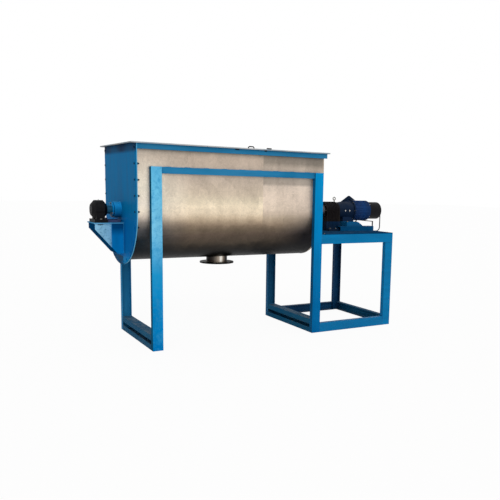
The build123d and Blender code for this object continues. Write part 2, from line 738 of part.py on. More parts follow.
half_span = TROUGH_LENGTH / 2 - RIBBON_END_GAP - RIBBON_MIDDLE_GAP
pitch = half_span / RIBBON_TURNS
outer_edge = TROUGH_RADIUS - RIBBON_CLEARANCE


def flight(edge_radius, left_hand):
    """One helical flight in the left half; its strip is square to the shaft's radius."""
    middle_radius = edge_radius - RIBBON_WIDTH / 2
    start = (X0 + RIBBON_END_GAP, 0, SHAFT_HEIGHT)
    with BuildPart() as ribbon:
        with BuildLine() as path:
            Helix(pitch, half_span, middle_radius, center=start, direction=(1, 0, 0), lefthand=left_hand)
        begin = path.wire() @ 0
        radial = (begin - Vector(*start)).normalized()
        with BuildSketch(Plane(origin=begin, x_dir=radial, z_dir=path.wire() % 0)):
            Rectangle(RIBBON_WIDTH, RIBBON_THICK)
        sweep(is_frenet=True)
    return ribbon.part, radial


def full_set(ribbon):
    """The flight, its opposite one and the two mirrored ones in the right half."""
    with BuildPart() as ribbons:
        for turn in (0, 180):
            turned = ribbon.rotate(SHAFT_AXIS, turn)
            add(turned)
            mirror(turned, about=Plane.YZ.offset(MIDDLE))
    return ribbons.part


def turn_of(direction):
    """The angle around the shaft, in degrees from the part's rear side."""
    return math.degrees(math.atan2(direction.Z, direction.Y))


# The inner flights are turned so that they cross the outer ones first at this part of a turn.
lead_in = (RIBBON_TURNS - 1) / 2
outer_flight, start_dir = flight(outer_edge, False)
inner_flight, inner_dir = flight(INNER_RIBBON_RADIUS, True)
meeting_turn = turn_of(start_dir) - turn_of(inner_dir) + 720 * lead_in
save(full_set(outer_flight), "outer_ribbons")
save(full_set(inner_flight.rotate(SHAFT_AXIS, meeting_turn)), "inner_ribbons")

# Arms stand where an outer and an inner flight cross, every quarter of the pitch.
arm_spans = (
    (SHAFT_RADIUS, INNER_RIBBON_RADIUS - RIBBON_WIDTH - 0.8),
    (INNER_RIBBON_RADIUS + 0.3, outer_edge - RIBBON_WIDTH - 0.6),
)
with BuildPart() as ribbon_arms:
    for half in (-1, 1):
        for station in range(ARM_STATIONS):
            part_turn = lead_in + station / 4
            offset = TROUGH_LENGTH / 2 - RIBBON_END_GAP - part_turn * pitch
            turn = turn_of(start_dir) + 360 * part_turn
            plane = across(TROUGH_LENGTH / 2 + half * offset)
            for side in (0, 180):
                angle = math.radians(turn + side)
                for begin, finish in arm_spans:
                    reach = (begin + finish) / 2
                    spot = (reach * math.cos(angle), reach * math.sin(angle))
                    with BuildSketch(plane.offset(-ARM_THICK / 2)):
                        with Locations(Location(spot, turn + side)):
                            Rectangle(finish - begin, ARM_WIDTH)
                    extrude(amount=ARM_THICK)
save(ribbon_arms.part, "ribbon_arms")

# Coupling: two three-jaw hubs with the spider's lobes between the jaws

jaw_centre = COUPLING_START + COUPLING_HUB + COUPLING_GAP / 2
with BuildPart() as shaft_coupling:
    for side, phase in ((-1, 0), (1, 60)):
        near = jaw_centre + side * COUPLING_GAP / 2
        bore = DRIVE_END_RADIUS
        with BuildSketch(across(near)):
            Circle(COUPLING_RADIUS)
            Circle(bore, mode=Mode.SUBTRACT)
        extrude(amount=side * COUPLING_HUB)
        for jaw in range(3):
            with BuildSketch(across(near)):
                turn = math.radians(phase + 120 * jaw)
                with Locations(Location((62 * math.cos(turn), 62 * math.sin(turn)), phase + 120 * jaw)):
                    Rectangle(38, 30)
            extrude(amount=-side * (COUPLING_GAP - 1))
    with BuildSketch(across(jaw_centre - COUPLING_GAP / 2 + 1)):
        Circle(38)
        for lobe in range(6):
            turn = math.radians(30 + 60 * lobe)
            with Locations(Location((56 * math.cos(turn), 56 * math.sin(turn)), 30 + 60 * lobe)):
                Rectangle(46, 20)
    extrude(amount=COUPLING_GAP - 2)
save(shaft_coupling.part, "shaft_coupling")

# Inline helical gear unit on its own plinth

gear_low = DECK_TOP + CHANNEL_FLANGE - SHAFT_HEIGHT


def gear_section(grow):
    """The gear case across the shaft: an arch on straight sides."""
    side = GEARBOX_RADIUS + grow
    with BuildSketch() as section:
        with BuildLine():
            Polyline((-side, 0), (-side, gear_low), (side, gear_low), (side, 0))
            ThreePointArc((side, 0), (0, side), (-side, 0))
        make_face()
    return section.sketch


gear_case = gear_section(0)
gear_rib = gear_section(7)
with BuildPart() as gearbox_housing:
    with BuildSketch(across(GEARBOX_START)):
        add(gear_case)
    extrude(amount=GEARBOX_LENGTH)
    rib_pitch = (GEARBOX_LENGTH - 60) / (GEARBOX_RIBS - 1)
    for rib in range(GEARBOX_RIBS):
        with BuildSketch(across(GEARBOX_START + 27 + rib_pitch * rib)):
            add(gear_rib)
        extrude(amount=6)
    with BuildSketch(Plane.XY.offset(DECK_TOP)):
        with Locations((X0 + GEARBOX_START + GEARBOX_FOOT_LENGTH / 2, 0)):
            Rectangle(GEARBOX_FOOT_LENGTH, 2 * GEARBOX_FOOT_HALF)
    extrude(amount=30)
    with BuildSketch(Plane.XY.offset(DECK_TOP)):
        with Locations((X0 + GEARBOX_START + GEARBOX_FOOT_LENGTH / 2, 0)):
            Rectangle(GEARBOX_FOOT_LENGTH, 2 * GEARBOX_RADIUS)
    extrude(amount=CHANNEL_FLANGE)
    with BuildSketch(across(GEARBOX_START)):
        Circle(70)
    extrude(amount=-6)
    with BuildSketch(across(GEARBOX_START - 7)):
        Circle(DRIVE_END_RADIUS + RUNNING_GAP)
    extrude(amount=90, mode=Mode.SUBTRACT)
save(gearbox_housing.part, "gearbox_housing")

with BuildPart() as gearbox_shaft:
    with BuildSketch(across(jaw_centre + COUPLING_GAP / 2)):
        Circle(DRIVE_END_RADIUS)
    extrude(amount=COUPLING_HUB + 7 + 76)
save(gearbox_shaft.part, "gearbox_shaft")

with BuildPart() as lifting_eye:
    eye_x = X0 + GEARBOX_START + 30 + rib_pitch * (GEARBOX_RIBS - 1)
    eye_foot = SHAFT_HEIGHT + GEARBOX_RADIUS + 7
    with Locations((eye_x, 0, eye_foot + 12)):
        Cylinder(8, 24)
    with Locations(Location((eye_x, 0, eye_foot + 44), (90, 0, 0))):
        Torus(20, 6.5)
save(lifting_eye.part, "lifting_eye")

# Motor adapter: cone, square-set flange with a lifting lug and a foot on the drive base

with BuildPart() as motor_adapter:
    cone_start = X0 + ADAPTER_START
    cone_end = X0 + FLANGE_START
    with BuildSketch(across(ADAPTER_START)):
        Circle(GEARBOX_RADIUS - 5)
    with BuildSketch(across(FLANGE_START)):
        Circle(ADAPTER_FLANGE_RADIUS - 18)
    loft()
    with BuildSketch(across(FLANGE_START)):
        Circle(ADAPTER_FLANGE_RADIUS)
    extrude(amount=ADAPTER_FLANGE_THICK)
    lug_low = SHAFT_HEIGHT + GEARBOX_RADIUS
    lug_seat = SHAFT_HEIGHT + MOTOR_RADIUS + FIN_HEIGHT + 1
    lug_tip = lug_low + 96
    base_seat = base_top + MOTOR_FOOT_RISE
    with BuildSketch(Plane.XZ):
        with BuildLine():
            Polyline(
                (cone_end - 160, lug_low - 10),
                (cone_end - 120, lug_low + 22),
                (cone_end - 8, lug_tip),
                (cone_end + 8, lug_tip),
                (cone_end + ADAPTER_FLANGE_THICK + 95, lug_seat),
                (cone_end + ADAPTER_FLANGE_THICK, lug_seat),
                (cone_end + ADAPTER_FLANGE_THICK, lug_low - 10),
                close=True,
            )
        make_face()
    extrude(amount=9, both=True)
    foot_from = cone_start + 60
    with BuildSketch(across(ADAPTER_START + 60)):
        with Locations((0, (base_seat - SHAFT_HEIGHT - 90) / 2)):
            Rectangle(220, SHAFT_HEIGHT - base_seat - 90)
    extrude(amount=ADAPTER_LENGTH - 60 + ADAPTER_FLANGE_THICK)
    foot_to = cone_end + 109
    with BuildSketch(Plane.XZ):
        with BuildLine():
            Polyline(
                (foot_from, base_top),
                (foot_from, base_seat),
                (foot_to - 78, base_seat),
                (foot_to, base_top + 14),
                (foot_to, base_top),
                close=True,
            )
        make_face()
    extrude(amount=DRIVE_BASE_HALF - 9, both=True)
    with BuildSketch(across(ADAPTER_START - 1)):
        Circle(60)
    extrude(amount=ADAPTER_LENGTH + ADAPTER_FLANGE_THICK + 2, mode=Mode.SUBTRACT)
save(motor_adapter.part, "motor_adapter")

# Motor: finned frame, rotor, fan and cowl

with BuildPart() as motor_frame:
    with BuildSketch(across(MOTOR_START)):
        Circle(MOTOR_RADIUS)
    extrude(amount=MOTOR_LENGTH - 25)
    with BuildSketch(across(MOTOR_START + 14)):
        Circle(MOTOR_RADIUS)
        with PolarLocations(MOTOR_RADIUS + FIN_HEIGHT / 2 - 2, FINS, start_angle=5):
            Rectangle(FIN_HEIGHT + 4, 5)
    extrude(amount=MOTOR_LENGTH - 25 - 14)
    with BuildSketch(across(MOTOR_START)):
        Circle(COWL_RADIUS - COWL_WALL)
    extrude(amount=MOTOR_LENGTH)
    with BuildSketch(across(MOTOR_START - 1)):
        Circle(ROTOR_SHAFT_RADIUS + RUNNING_GAP)
    extrude(amount=MOTOR_LENGTH + 2, mode=Mode.SUBTRACT)
    with BuildSketch(across(MOTOR_START + 34)):
        Circle(ROTOR_RADIUS + 1)
    extrude(amount=MOTOR_LENGTH - 74, mode=Mode.SUBTRACT)
save(motor_frame.part, "motor_frame")

# A cradle on the base rails steadies the motor's free end.
with BuildPart() as tail_support:
    support_x = X0 + COWL_START - 15
    saddle = SHAFT_HEIGHT - MOTOR_RADIUS - FIN_HEIGHT
    post_y = DRIVE_BASE_HALF - 17
    for sign in (-1, 1):
        with Locations((support_x, sign * post_y, (base_top + saddle) / 2)):
            Box(10, 16, saddle - base_top)
    with Locations((support_x, 0, saddle - 5)):
        Box(16, 2 * post_y + 16, 10)
save(tail_support.part, "tail_support")

with BuildPart() as motor_rotor:
    with BuildSketch(across(ADAPTER_START + 70)):
        Circle(ROTOR_SHAFT_RADIUS)
    extrude(amount=COWL_END - 35 - ADAPTER_START - 70)
    with BuildSketch(across(MOTOR_START + 44)):
        Circle(ROTOR_RADIUS)
    extrude(amount=MOTOR_LENGTH - 94)
save(motor_rotor.part, "motor_rotor")

fan_start = COWL_END - 95
with BuildPart() as cooling_fan:
    with BuildSketch(across(fan_start)):
        Circle(32)
        with PolarLocations((FAN_RADIUS + 28) / 2, FAN_BLADES):
            Rectangle(FAN_RADIUS - 28, 3.5)
    extrude(amount=38)
    with BuildSketch(across(fan_start)):
        Circle(FAN_RADIUS - 12)
    extrude(amount=3)
    with BuildSketch(across(fan_start)):
        Circle(ROTOR_SHAFT_RADIUS)
    extrude(amount=40, mode=Mode.SUBTRACT)
save(cooling_fan.part, "cooling_fan")

with BuildPart() as fan_cowl:
    with BuildSketch(across(COWL_START)):
        Circle(COWL_RADIUS)
    extrude(amount=COWL_LENGTH)
    fillet(fan_cowl.faces().sort_by(Axis.X)[-1].edges(), 30)
    with BuildSketch(across(COWL_START)):
        Circle(COWL_RADIUS - COWL_WALL)
    extrude(amount=COWL_LENGTH - 32, mode=Mode.SUBTRACT)
    with BuildSketch(across(COWL_START + COWL_LENGTH - 32)):
        Circle(COWL_RADIUS - COWL_WALL - 16)
    extrude(amount=32 - COWL_WALL, mode=Mode.SUBTRACT)
    with BuildSketch(across(COWL_END - COWL_WALL - 1)):
        with PolarLocations(62, 20):
            Rectangle(64, 7)
    extrude(amount=COWL_WALL + 2, mode=Mode.SUBTRACT)
save(fan_cowl.part, "fan_cowl")

# Terminal box on the motor's far side, with its lead to a gland in the table's end beam

box_from = MOTOR_START + TERMINAL_BOX_START
box_to = box_from + TERMINAL_BOX_LENGTH
gland_length = 26
beam_gland_z = TABLE_TOP - 30
with BuildPart() as terminal_box:
    with BuildSketch(Plane.XY.offset(SHAFT_HEIGHT - 55)):
        with Locations((X0 + (box_from + box_to) / 2, (TERMINAL_BOX_ROOT + TERMINAL_BOX_REACH) / 2)):
            Rectangle(TERMINAL_BOX_LENGTH, TERMINAL_BOX_REACH - TERMINAL_BOX_ROOT)
    extrude(amount=110)
    fillet(terminal_box.faces().sort_by(Axis.Y)[-1].edges(), 6)
    with BuildSketch(across(box_from - 5)):
        Circle(MOTOR_RADIUS + FIN_HEIGHT + RUNNING_GAP)
    extrude(amount=box_to - box_from + 10, mode=Mode.SUBTRACT)
    with Locations(Location((X0 + box_to + gland_length / 2, LEAD_SIDE, SHAFT_HEIGHT), (0, 90, 0))):
        Cylinder(14, gland_length)
    with Locations(Location((X0 + TABLE_END + gland_length / 2, LEAD_SIDE, beam_gland_z), (0, 90, 0))):
        Cylinder(14, gland_length)
save(terminal_box.part, "terminal_box")

lead_x = X0 + COWL_END + LEAD_REACH
with BuildPart() as motor_lead:
    with BuildLine() as route:
        FilletPolyline(
            (X0 + box_to + gland_length, LEAD_SIDE, SHAFT_HEIGHT),
            (lead_x, LEAD_SIDE, SHAFT_HEIGHT),
            (lead_x, LEAD_SIDE, beam_gland_z),
            (X0 + TABLE_END + gland_length, LEAD_SIDE, beam_gland_z),
            radius=LEAD_BEND,
        )
    with BuildSketch(Plane(origin=route.wire() @ 0, z_dir=route.wire() % 0)):
        Circle(LEAD_RADIUS)
    sweep()
save(motor_lead.part, "motor_lead")
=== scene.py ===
"""Horizontal ribbon blender: looks, small fittings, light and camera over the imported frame."""
import math

import bmesh
import bpy
from mathutils import Matrix, Vector


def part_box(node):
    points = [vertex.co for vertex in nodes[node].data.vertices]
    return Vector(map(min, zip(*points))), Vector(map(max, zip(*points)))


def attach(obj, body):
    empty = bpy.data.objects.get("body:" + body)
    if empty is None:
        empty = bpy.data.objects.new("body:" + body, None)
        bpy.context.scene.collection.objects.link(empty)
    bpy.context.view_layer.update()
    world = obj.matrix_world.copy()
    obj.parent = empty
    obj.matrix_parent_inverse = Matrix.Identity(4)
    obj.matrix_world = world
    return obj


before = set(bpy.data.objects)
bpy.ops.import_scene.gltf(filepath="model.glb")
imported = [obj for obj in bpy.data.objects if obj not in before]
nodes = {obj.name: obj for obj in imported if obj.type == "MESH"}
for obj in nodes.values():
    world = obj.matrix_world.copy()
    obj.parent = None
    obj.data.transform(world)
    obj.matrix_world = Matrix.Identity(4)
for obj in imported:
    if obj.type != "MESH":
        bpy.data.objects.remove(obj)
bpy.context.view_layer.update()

X0 = -1.8715            # the trough's left end
SHAFT_Z = 1.63          # the shaft's height above the floor
TROUGH_LONG = 2.5
TROUGH_OUT = 0.610      # the trough's outside, from its middle plane
NECK = 0.1375           # the outlet neck's outside radius
MIDDLE = X0 + TROUGH_LONG / 2


# Colours and node helpers

def ink(red, green, blue):
    """A colour read as 0 to 255, as the shader wants it."""
    def part(v):
        v /= 255
        return v / 12.92 if v <= 0.04045 else ((v + 0.055) / 1.055) ** 2.4
    return (part(red), part(green), part(blue), 1.0)


def link(tree, out, socket):
    tree.links.new(out, socket)


def feed(tree, value, socket):
    """Sets a socket to a plain value, or links it where the value is another socket."""
    if isinstance(value, (int, float, tuple)):
        socket.default_value = value
    else:
        link(tree, value, socket)


def math_node(tree, operation, a, b=None, clamp=False):
    node = tree.nodes.new("ShaderNodeMath")
    node.operation = operation
    node.use_clamp = clamp
    feed(tree, a, node.inputs[0])
    if b is not None:
        feed(tree, b, node.inputs[1])
    return node.outputs[0]


def times(tree, a, b, clamp=False):
    return math_node(tree, "MULTIPLY", a, b, clamp)


def plus(tree, a, b):
    return math_node(tree, "ADD", a, b)


def minus(tree, a, b):
    return math_node(tree, "SUBTRACT", a, b)


def most(tree, a, b):
    return math_node(tree, "MAXIMUM", a, b)


def mix_colour(tree, amount, a, b, blend="MIX"):
    node = tree.nodes.new("ShaderNodeMix")
    node.data_type = "RGBA"
    node.blend_type = blend
    for place, value in ((0, amount), (6, a), (7, b)):
        feed(tree, value, node.inputs[place])
    return node.outputs[2]


def spread(tree, value, low, high, to_low=0.0, to_high=1.0):
    """A value's range, low to high, laid over another range."""
    node = tree.nodes.new("ShaderNodeMapRange")
    for name, number in (("Value", value), ("From Min", low), ("From Max", high),
                         ("To Min", to_low), ("To Max", to_high)):
        feed(tree, number, node.inputs[name])
    return node.outputs[0]


def noise(tree, where, size, detail=3.0, rough=0.55, warp=0.0):
    node = tree.nodes.new("ShaderNodeTexNoise")
    for name, value in (("Vector", where), ("Scale", size), ("Detail", detail), ("Roughness", rough),
                        ("Distortion", warp)):
        feed(tree, value, node.inputs[name])
    return node.outputs["Fac"]


def grey_of(tree, value):
    node = tree.nodes.new("ShaderNodeCombineColor")
    for place in range(3):
        link(tree, value, node.inputs[place])
    return node.outputs[0]


def parts_of(tree, vector):
    """The three numbers of a place or a direction."""
    split = tree.nodes.new("ShaderNodeSeparateXYZ")
    link(tree, vector, split.inputs[0])
    return split.outputs


def stretched(tree, have, label):
    """The place times the input of that name, so that a pattern runs in strokes."""
    turn = tree.nodes.new("ShaderNodeVectorMath")
    turn.operation = "MULTIPLY"
    link(tree, have.outputs["Where"], turn.inputs[0])
    link(tree, have.outputs[label], turn.inputs[1])
    return turn.outputs[0]


def group(name, inputs, outputs):
    """An empty shader group with named sockets, and its input and output nodes."""
    tree = bpy.data.node_groups.new(name, "ShaderNodeTree")
    kinds = {"number": "NodeSocketFloat", "colour": "NodeSocketColor", "vector": "NodeSocketVector"}
    for label, kind in inputs:
        tree.interface.new_socket(name=label, in_out="INPUT", socket_type=kinds[kind])
    for label, kind in outputs:
        tree.interface.new_socket(name=label, in_out="OUTPUT", socket_type=kinds[kind])
    return tree, tree.nodes.new("NodeGroupInput"), tree.nodes.new("NodeGroupOutput")


def make_brush_paint():
    """Hand-brushed enamel: broad fading, thin strokes along one direction, small scuffs."""
    tree, have, give = group(
        "brush_paint",
        [("Where", "vector"), ("Stroke", "vector"), ("Colour", "colour"), ("Faded", "colour"),
         ("Fade", "number")],
        [("Colour", "colour"), ("Roughness", "number"), ("Height", "number")])
    strokes = noise(tree, stretched(tree, have, "Stroke"), 1.0, 4.0)
    clouds = noise(tree, have.outputs["Where"], 2.6, 3.0)
    scuffs = noise(tree, have.outputs["Where"], 38.0, 5.0, 0.7)
    wear = times(tree, spread(tree, clouds, 0.35, 0.7), have.outputs["Fade"], True)
    body = mix_colour(tree, wear, have.outputs["Colour"], have.outputs["Faded"])
    stroke_mask = spread(tree, strokes, 0.3, 0.7, 0.86, 1.1)
    body = mix_colour(tree, 1.0, body, grey_of(tree, stroke_mask), "MULTIPLY")
    nick = spread(tree, scuffs, 0.66, 0.74, 0.0, 0.5)
    body = mix_colour(tree, nick, body, have.outputs["Faded"])
    link(tree, body, give.inputs["Colour"])
    link(tree, spread(tree, strokes, 0.2, 0.8, 0.42, 0.6), give.inputs["Roughness"])
    link(tree, plus(tree, strokes, times(tree, nick, -0.6)), give.inputs["Height"])
    return tree


def make_ground_sheet():
    """Rolled sheet dressed by hand with a flap disc: patches, streaks, swirls, marks and square areas."""
    tree, have, give = group(
        "ground_sheet",
        [("Where", "vector"), ("Streak", "vector"), ("Colour", "colour"), ("Depth", "number")],
        [("Colour", "colour"), ("Roughness", "number"), ("Height", "number")])
    where = have.outputs["Where"]
    streaks = noise(tree, stretched(tree, have, "Streak"), 1.0, 5.0, 0.6, 0.3)
    patches = noise(tree, where, 3.1, 3.0, 0.5, 0.6)
    swirls = noise(tree, where, 13.0, 5.0, 0.68, 2.6)
    marks = noise(tree, where, 42.0, 3.0, 0.6, 3.0)
    grit = noise(tree, where, 120.0, 3.0, 0.7)
    areas = tree.nodes.new("ShaderNodeTexVoronoi")
    areas.distance = "CHEBYCHEV"
    areas.inputs["Scale"].default_value = 4.2
    areas.inputs["Randomness"].default_value = 0.8
    link(tree, where, areas.inputs["Vector"])
    area_tone = tree.nodes.new("ShaderNodeSeparateColor")
    link(tree, areas.outputs["Color"], area_tone.inputs[0])
    tone = spread(tree, patches, 0.25, 0.75, -1.0, 1.0)
    for pattern, low, high, share in (
            (streaks, 0.3, 0.7, 0.9), (swirls, 0.35, 0.65, 0.8), (marks, 0.35, 0.65, 0.6),
            (area_tone.outputs[0], 0.0, 1.0, 0.7), (grit, 0.3, 0.7, 0.35)):
        tone = plus(tree, tone, spread(tree, pattern, low, high, -share, share))
    tone = plus(tree, times(tree, tone, have.outputs["Depth"]), 1.0)
    body = mix_colour(tree, 1.0, have.outputs["Colour"], grey_of(tree, tone), "MULTIPLY")
    link(tree, body, give.inputs["Colour"])
    link(tree, spread(tree, swirls, 0.25, 0.75, 0.34, 0.5), give.inputs["Roughness"])
    link(tree, plus(tree, streaks, swirls), give.inputs["Height"])
    return tree


def make_workshop_dust():
    """Pale dust that settles in patches, more of it on faces that look up."""
    tree, have, give = group(
        "workshop_dust",
        [("Where", "vector"), ("Normal", "vector"), ("Colour", "colour"), ("Dust", "colour"),
         ("Amount", "number")],
        [("Colour", "colour"), ("Mask", "number")])
    lift = spread(tree, parts_of(tree, have.outputs["Normal"])[2], 0.2, 1.0)
    patches = spread(tree, noise(tree, have.outputs["Where"], 9.0, 5.0, 0.65, 0.4), 0.38, 0.68)
    mask = times(tree, plus(tree, lift, 0.05), patches)
    mask = times(tree, mask, have.outputs["Amount"], True)
    link(tree, mix_colour(tree, mask, have.outputs["Colour"], have.outputs["Dust"]), give.inputs["Colour"])
    link(tree, mask, give.inputs["Mask"])
    return tree


BRUSH_PAINT = make_brush_paint()
GROUND_SHEET = make_ground_sheet()
WORKSHOP_DUST = make_workshop_dust()


def use(tree, effect, **values):
    """A group placed in a material; a value that is a socket is linked, any other is set."""
    node = tree.nodes.new("ShaderNodeGroup")
    node.node_tree = effect
    for label, value in values.items():
        feed(tree, value, node.inputs[label])
    return node.outputs


def start_material(name, metallic=0.0, coat=0.0, gloss=0.2):
    material = bpy.data.materials.new(name)
    material.use_nodes = True
    tree = material.node_tree
    shader = tree.nodes["Principled BSDF"]
    shader.inputs["Metallic"].default_value = metallic
    shader.inputs["Coat Weight"].default_value = coat
    shader.inputs["Coat Roughness"].default_value = 0.25
    shader.inputs["Specular IOR Level"].default_value = 0.5 if metallic else gloss
    where = tree.nodes.new("ShaderNodeTexCoord").outputs["Object"]
    facing = tree.nodes.new("ShaderNodeNewGeometry").outputs["Normal"]
    return material, tree, shader, where, facing


def finish_material(tree, shader, colour, roughness, height, lift=0.0004, strength=0.3):
    link(tree, colour, shader.inputs["Base Color"])
    link(tree, roughness, shader.inputs["Roughness"])
    bump = tree.nodes.new("ShaderNodeBump")
    bump.inputs["Strength"].default_value = strength
    bump.inputs["Distance"].default_value = lift
    link(tree, height, bump.inputs["Height"])
    link(tree, bump.outputs[0], shader.inputs["Normal"])


def ramp_along(tree, where, stops, axis=2):
    """A colour that runs along one axis; stops are (metres, red, green, blue)."""
    low, high = stops[0][0], stops[-1][0]
    ramp = tree.nodes.new("ShaderNodeValToRGB")
    link(tree, spread(tree, parts_of(tree, where)[axis], low, high), ramp.inputs[0])
    while len(ramp.color_ramp.elements) < len(stops):
        ramp.color_ramp.elements.new(0.5)
    for element, (level, *tone) in zip(ramp.color_ramp.elements, stops):
        element.position = (level - low) / (high - low)
        element.color = ink(*tone)
    return ramp.outputs[0]


TO_LEFT = (0, -1.0)     # faces that look along -X
TO_FRONT = (1, -1.0)    # faces that look along -Y


def side_shade(tree, facing, base, tint, look=TO_LEFT):
    """Painted shade or light: tints the faces that look one way, as the light falls on them."""
    axis, sign = look
    mask = spread(tree, parts_of(tree, facing)[axis], 0.45 * sign, 0.65 * sign)
    return mix_colour(tree, mask, base, tint)


def brushed_finish(tree, shader, where, base, faded, fade):
    """Brushed strokes that run up and down over a base colour."""
    paint = use(tree, BRUSH_PAINT, Where=where, Stroke=ACROSS, Colour=base, Faded=faded, Fade=fade)
    finish_material(tree, shader, paint["Colour"], paint["Roughness"], paint["Height"])


def ground_finish(tree, shader, where, streak, colour, depth):
    """Hand-ground sheet over a base colour."""
    sheet = use(tree, GROUND_SHEET, Where=where, Streak=streak, Colour=colour, Depth=depth)
    finish_material(tree, shader, sheet["Colour"], sheet["Roughness"], sheet["Height"], 0.0003, 0.25)


def end_plate_enamel():
    """The bolted end plate: brushed blue, with the shelf's painted shadow on the tongue below the shelf."""
    material, tree, shader, where, facing = start_material("end_plate_enamel", gloss=0.01)
    place = parts_of(tree, where)
    tongue = spread(tree, place[2], 1.085, 1.07)
    behind = spread(tree, place[1], -0.13, -0.11)
    # Painted shade under the cover along the plate's top.
    base = ramp_along(tree, where, PLATE_SHADED_STOPS)
    # Painted shadow: the shelf's shadow on the tongue, behind the gusset.
    base = mix_colour(tree, times(tree, tongue, behind), base, ink(26, 60, 88))
    brushed_finish(tree, shader, where, base, ink(16, 110, 162), 0.4)
    return material


def shelf_enamel():
    """The gusset: painted sun outboard, scratched; painted shade near the plate, on the nose; a painted edge
    highlight.
    """
    material, tree, shader, where, facing = start_material("shelf_enamel", gloss=0.0)
    place = parts_of(tree, where)
    # Painted light: pale where the sun falls outboard, deep blue in painted shade near the plate.
    base = ramp_along(tree, where, BRACKET_SUNLIT_STOPS, 0)
    near_plate = spread(tree, place[0], -2.03, -2.02)
    # Painted shadow under the shelf, near the plate.
    shelf_shadow = times(tree, spread(tree, place[2], 1.32, 1.42), near_plate)
    base = mix_colour(tree, times(tree, shelf_shadow, 0.85), base, ink(0, 46, 92))
    scratch = spread(tree, noise(tree, where, 24.0, 6.0, 0.8, 1.0), 0.5, 0.64, 0.0, 0.8)
    outboard = minus(tree, 1.0, near_plate)
    base = mix_colour(tree, times(tree, scratch, outboard), base, ink(56, 112, 150))
    # Painted shade on the faces that look left, the sloped nose among them.
    base = side_shade(tree, facing, base, ink(0, 54, 94))
    # Painted highlight along the top edge of the shelf.
    edge_highlight = spread(tree, place[2], 1.466, 1.470, 0.0, 0.7)
    base = mix_colour(tree, edge_highlight, base, ink(70, 150, 196))
    brushed_finish(tree, shader, where, base, ink(6, 100, 160), 0.15)
    return material


def bolt_enamel():
    """Flange bolts: dark with old paint, but overpainted with the plate on its face below the shaft."""
    material, tree, shader, where, facing = start_material("flange_bolt_enamel", gloss=0.03)
    place = parts_of(tree, where)
    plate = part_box("end_plate_left")[0][0]
    on_plate = spread(tree, place[0], plate + 0.001, plate)
    below_shaft = spread(tree, place[2], 1.54, 1.50)
    base = mix_colour(tree, times(tree, on_plate, below_shaft), ink(8, 22, 40), ink(0, 92, 150))
    brushed_finish(tree, shader, where, base, ink(30, 60, 90), 0.15)
    return material


def enamel(name, colour, faded, fade, stroke, dust=0.12, coat=0.0, stops=None, axis=2, gloss=0.06,
           scuff=None, shades=()):
    """Brushed enamel. Stops run the colour along an axis, and shades tint the faces that look one way."""
    material, tree, shader, where, facing = start_material(name, 0.0, coat, gloss)
    base = ramp_along(tree, where, stops, axis) if stops else colour
    if scuff is not None:
        rubbed = noise(tree, where, 13.0, 6.0, 0.78, 0.8)
        base = mix_colour(tree, spread(tree, rubbed, 0.47, 0.66, 0.0, 0.75), base, scuff)
    for look, tint in shades:
        base = side_shade(tree, facing, base, tint, look)
    paint = use(tree, BRUSH_PAINT, Where=where, Stroke=stroke, Colour=base, Faded=faded, Fade=fade)
    dusty = use(tree, WORKSHOP_DUST, Where=where, Normal=facing, Colour=paint["Colour"],
                Dust=ink(150, 150, 146), Amount=dust)
    finish_material(tree, shader, dusty["Colour"], paint["Roughness"], paint["Height"])
    return material


def sheet_metal(name, colour, streak, depth, metallic=0.9, stops=None, axis=2):
    """Ground or turned metal; stops, if given, run its colour along an axis."""
    material, tree, shader, where, facing = start_material(name, metallic)
    base = ramp_along(tree, where, stops, axis) if stops else colour
    ground_finish(tree, shader, where, streak, base, depth)
    return material


def trough_courses():
    """The trough's sheet: three courses with own tone, blotches, swirls, runs; painted reflection and shade
    by height.
    """
    material, tree, shader, where, facing = start_material("trough_sheet", 0.8)
    shader.inputs["Specular IOR Level"].default_value = 0.04
    along, depth, height = parts_of(tree, where)
    wander = noise(tree, where, 5.0, 3.0, 0.6)
    shifted = plus(tree, along, spread(tree, wander, 0.3, 0.7, -0.04, 0.04))
    wavy = tree.nodes.new("ShaderNodeCombineXYZ")
    link(tree, along, wavy.inputs[0])
    link(tree, depth, wavy.inputs[1])
    link(tree, plus(tree, height, spread(tree, wander, 0.3, 0.7, -0.018, 0.018)), wavy.inputs[2])
    # Painted reflection and shade: each course's colour by height darkens down to the belly and under the
    # rim.
    body = ramp_along(tree, wavy.outputs[0], TROUGH_STOPS)
    right = ramp_along(tree, where, RIGHT_SHEET_STOPS)
    left = ramp_along(tree, wavy.outputs[0], LEFT_END_STOPS)
    beyond_joint = times(tree, spread(tree, along, X0 + 1.612, X0 + 1.618),
                         spread(tree, height, 1.46, 1.62, 0.1, 0.8))
    body = mix_colour(tree, beyond_joint, body, right)
    body = mix_colour(tree, spread(tree, shifted, X0 + 1.84, X0 + 2.30, 0.0, 0.95), body, right)
    body = mix_colour(tree, spread(tree, shifted, X0 + 0.66, X0 + 0.10), body, left)
    ground_finish(tree, shader, where, (7.0, 14.0, 1.1), body, 0.11)
    link(tree, spread(tree, height, 1.08, 1.45, 0.1, 0.8), shader.inputs["Metallic"])
    return material


def spout_sheet():
    """The outlet's neck carries a painted highlight down its front, and its flange below is dark."""
    material, tree, shader, where, facing = start_material("spout_sheet", 0.8)
    shader.inputs["Specular IOR Level"].default_value = 0.04
    # Painted highlight: a bright stripe down the neck, dark to both sides.
    neck = ramp_along(tree, where, [(MIDDLE + place, *tone) for place, *tone in NECK_HIGHLIGHT_STOPS], 0)
    both = mix_colour(tree, 1.0, neck, ramp_along(tree, where, SPOUT_FLANGE_STOPS), "MULTIPLY")
    link(tree, spread(tree, parts_of(tree, where)[2], 0.953, 0.955, 0.0, 0.8), shader.inputs["Metallic"])
    ground_finish(tree, shader, where, (30.0, 30.0, 3.0), both, 0.1)
    return material


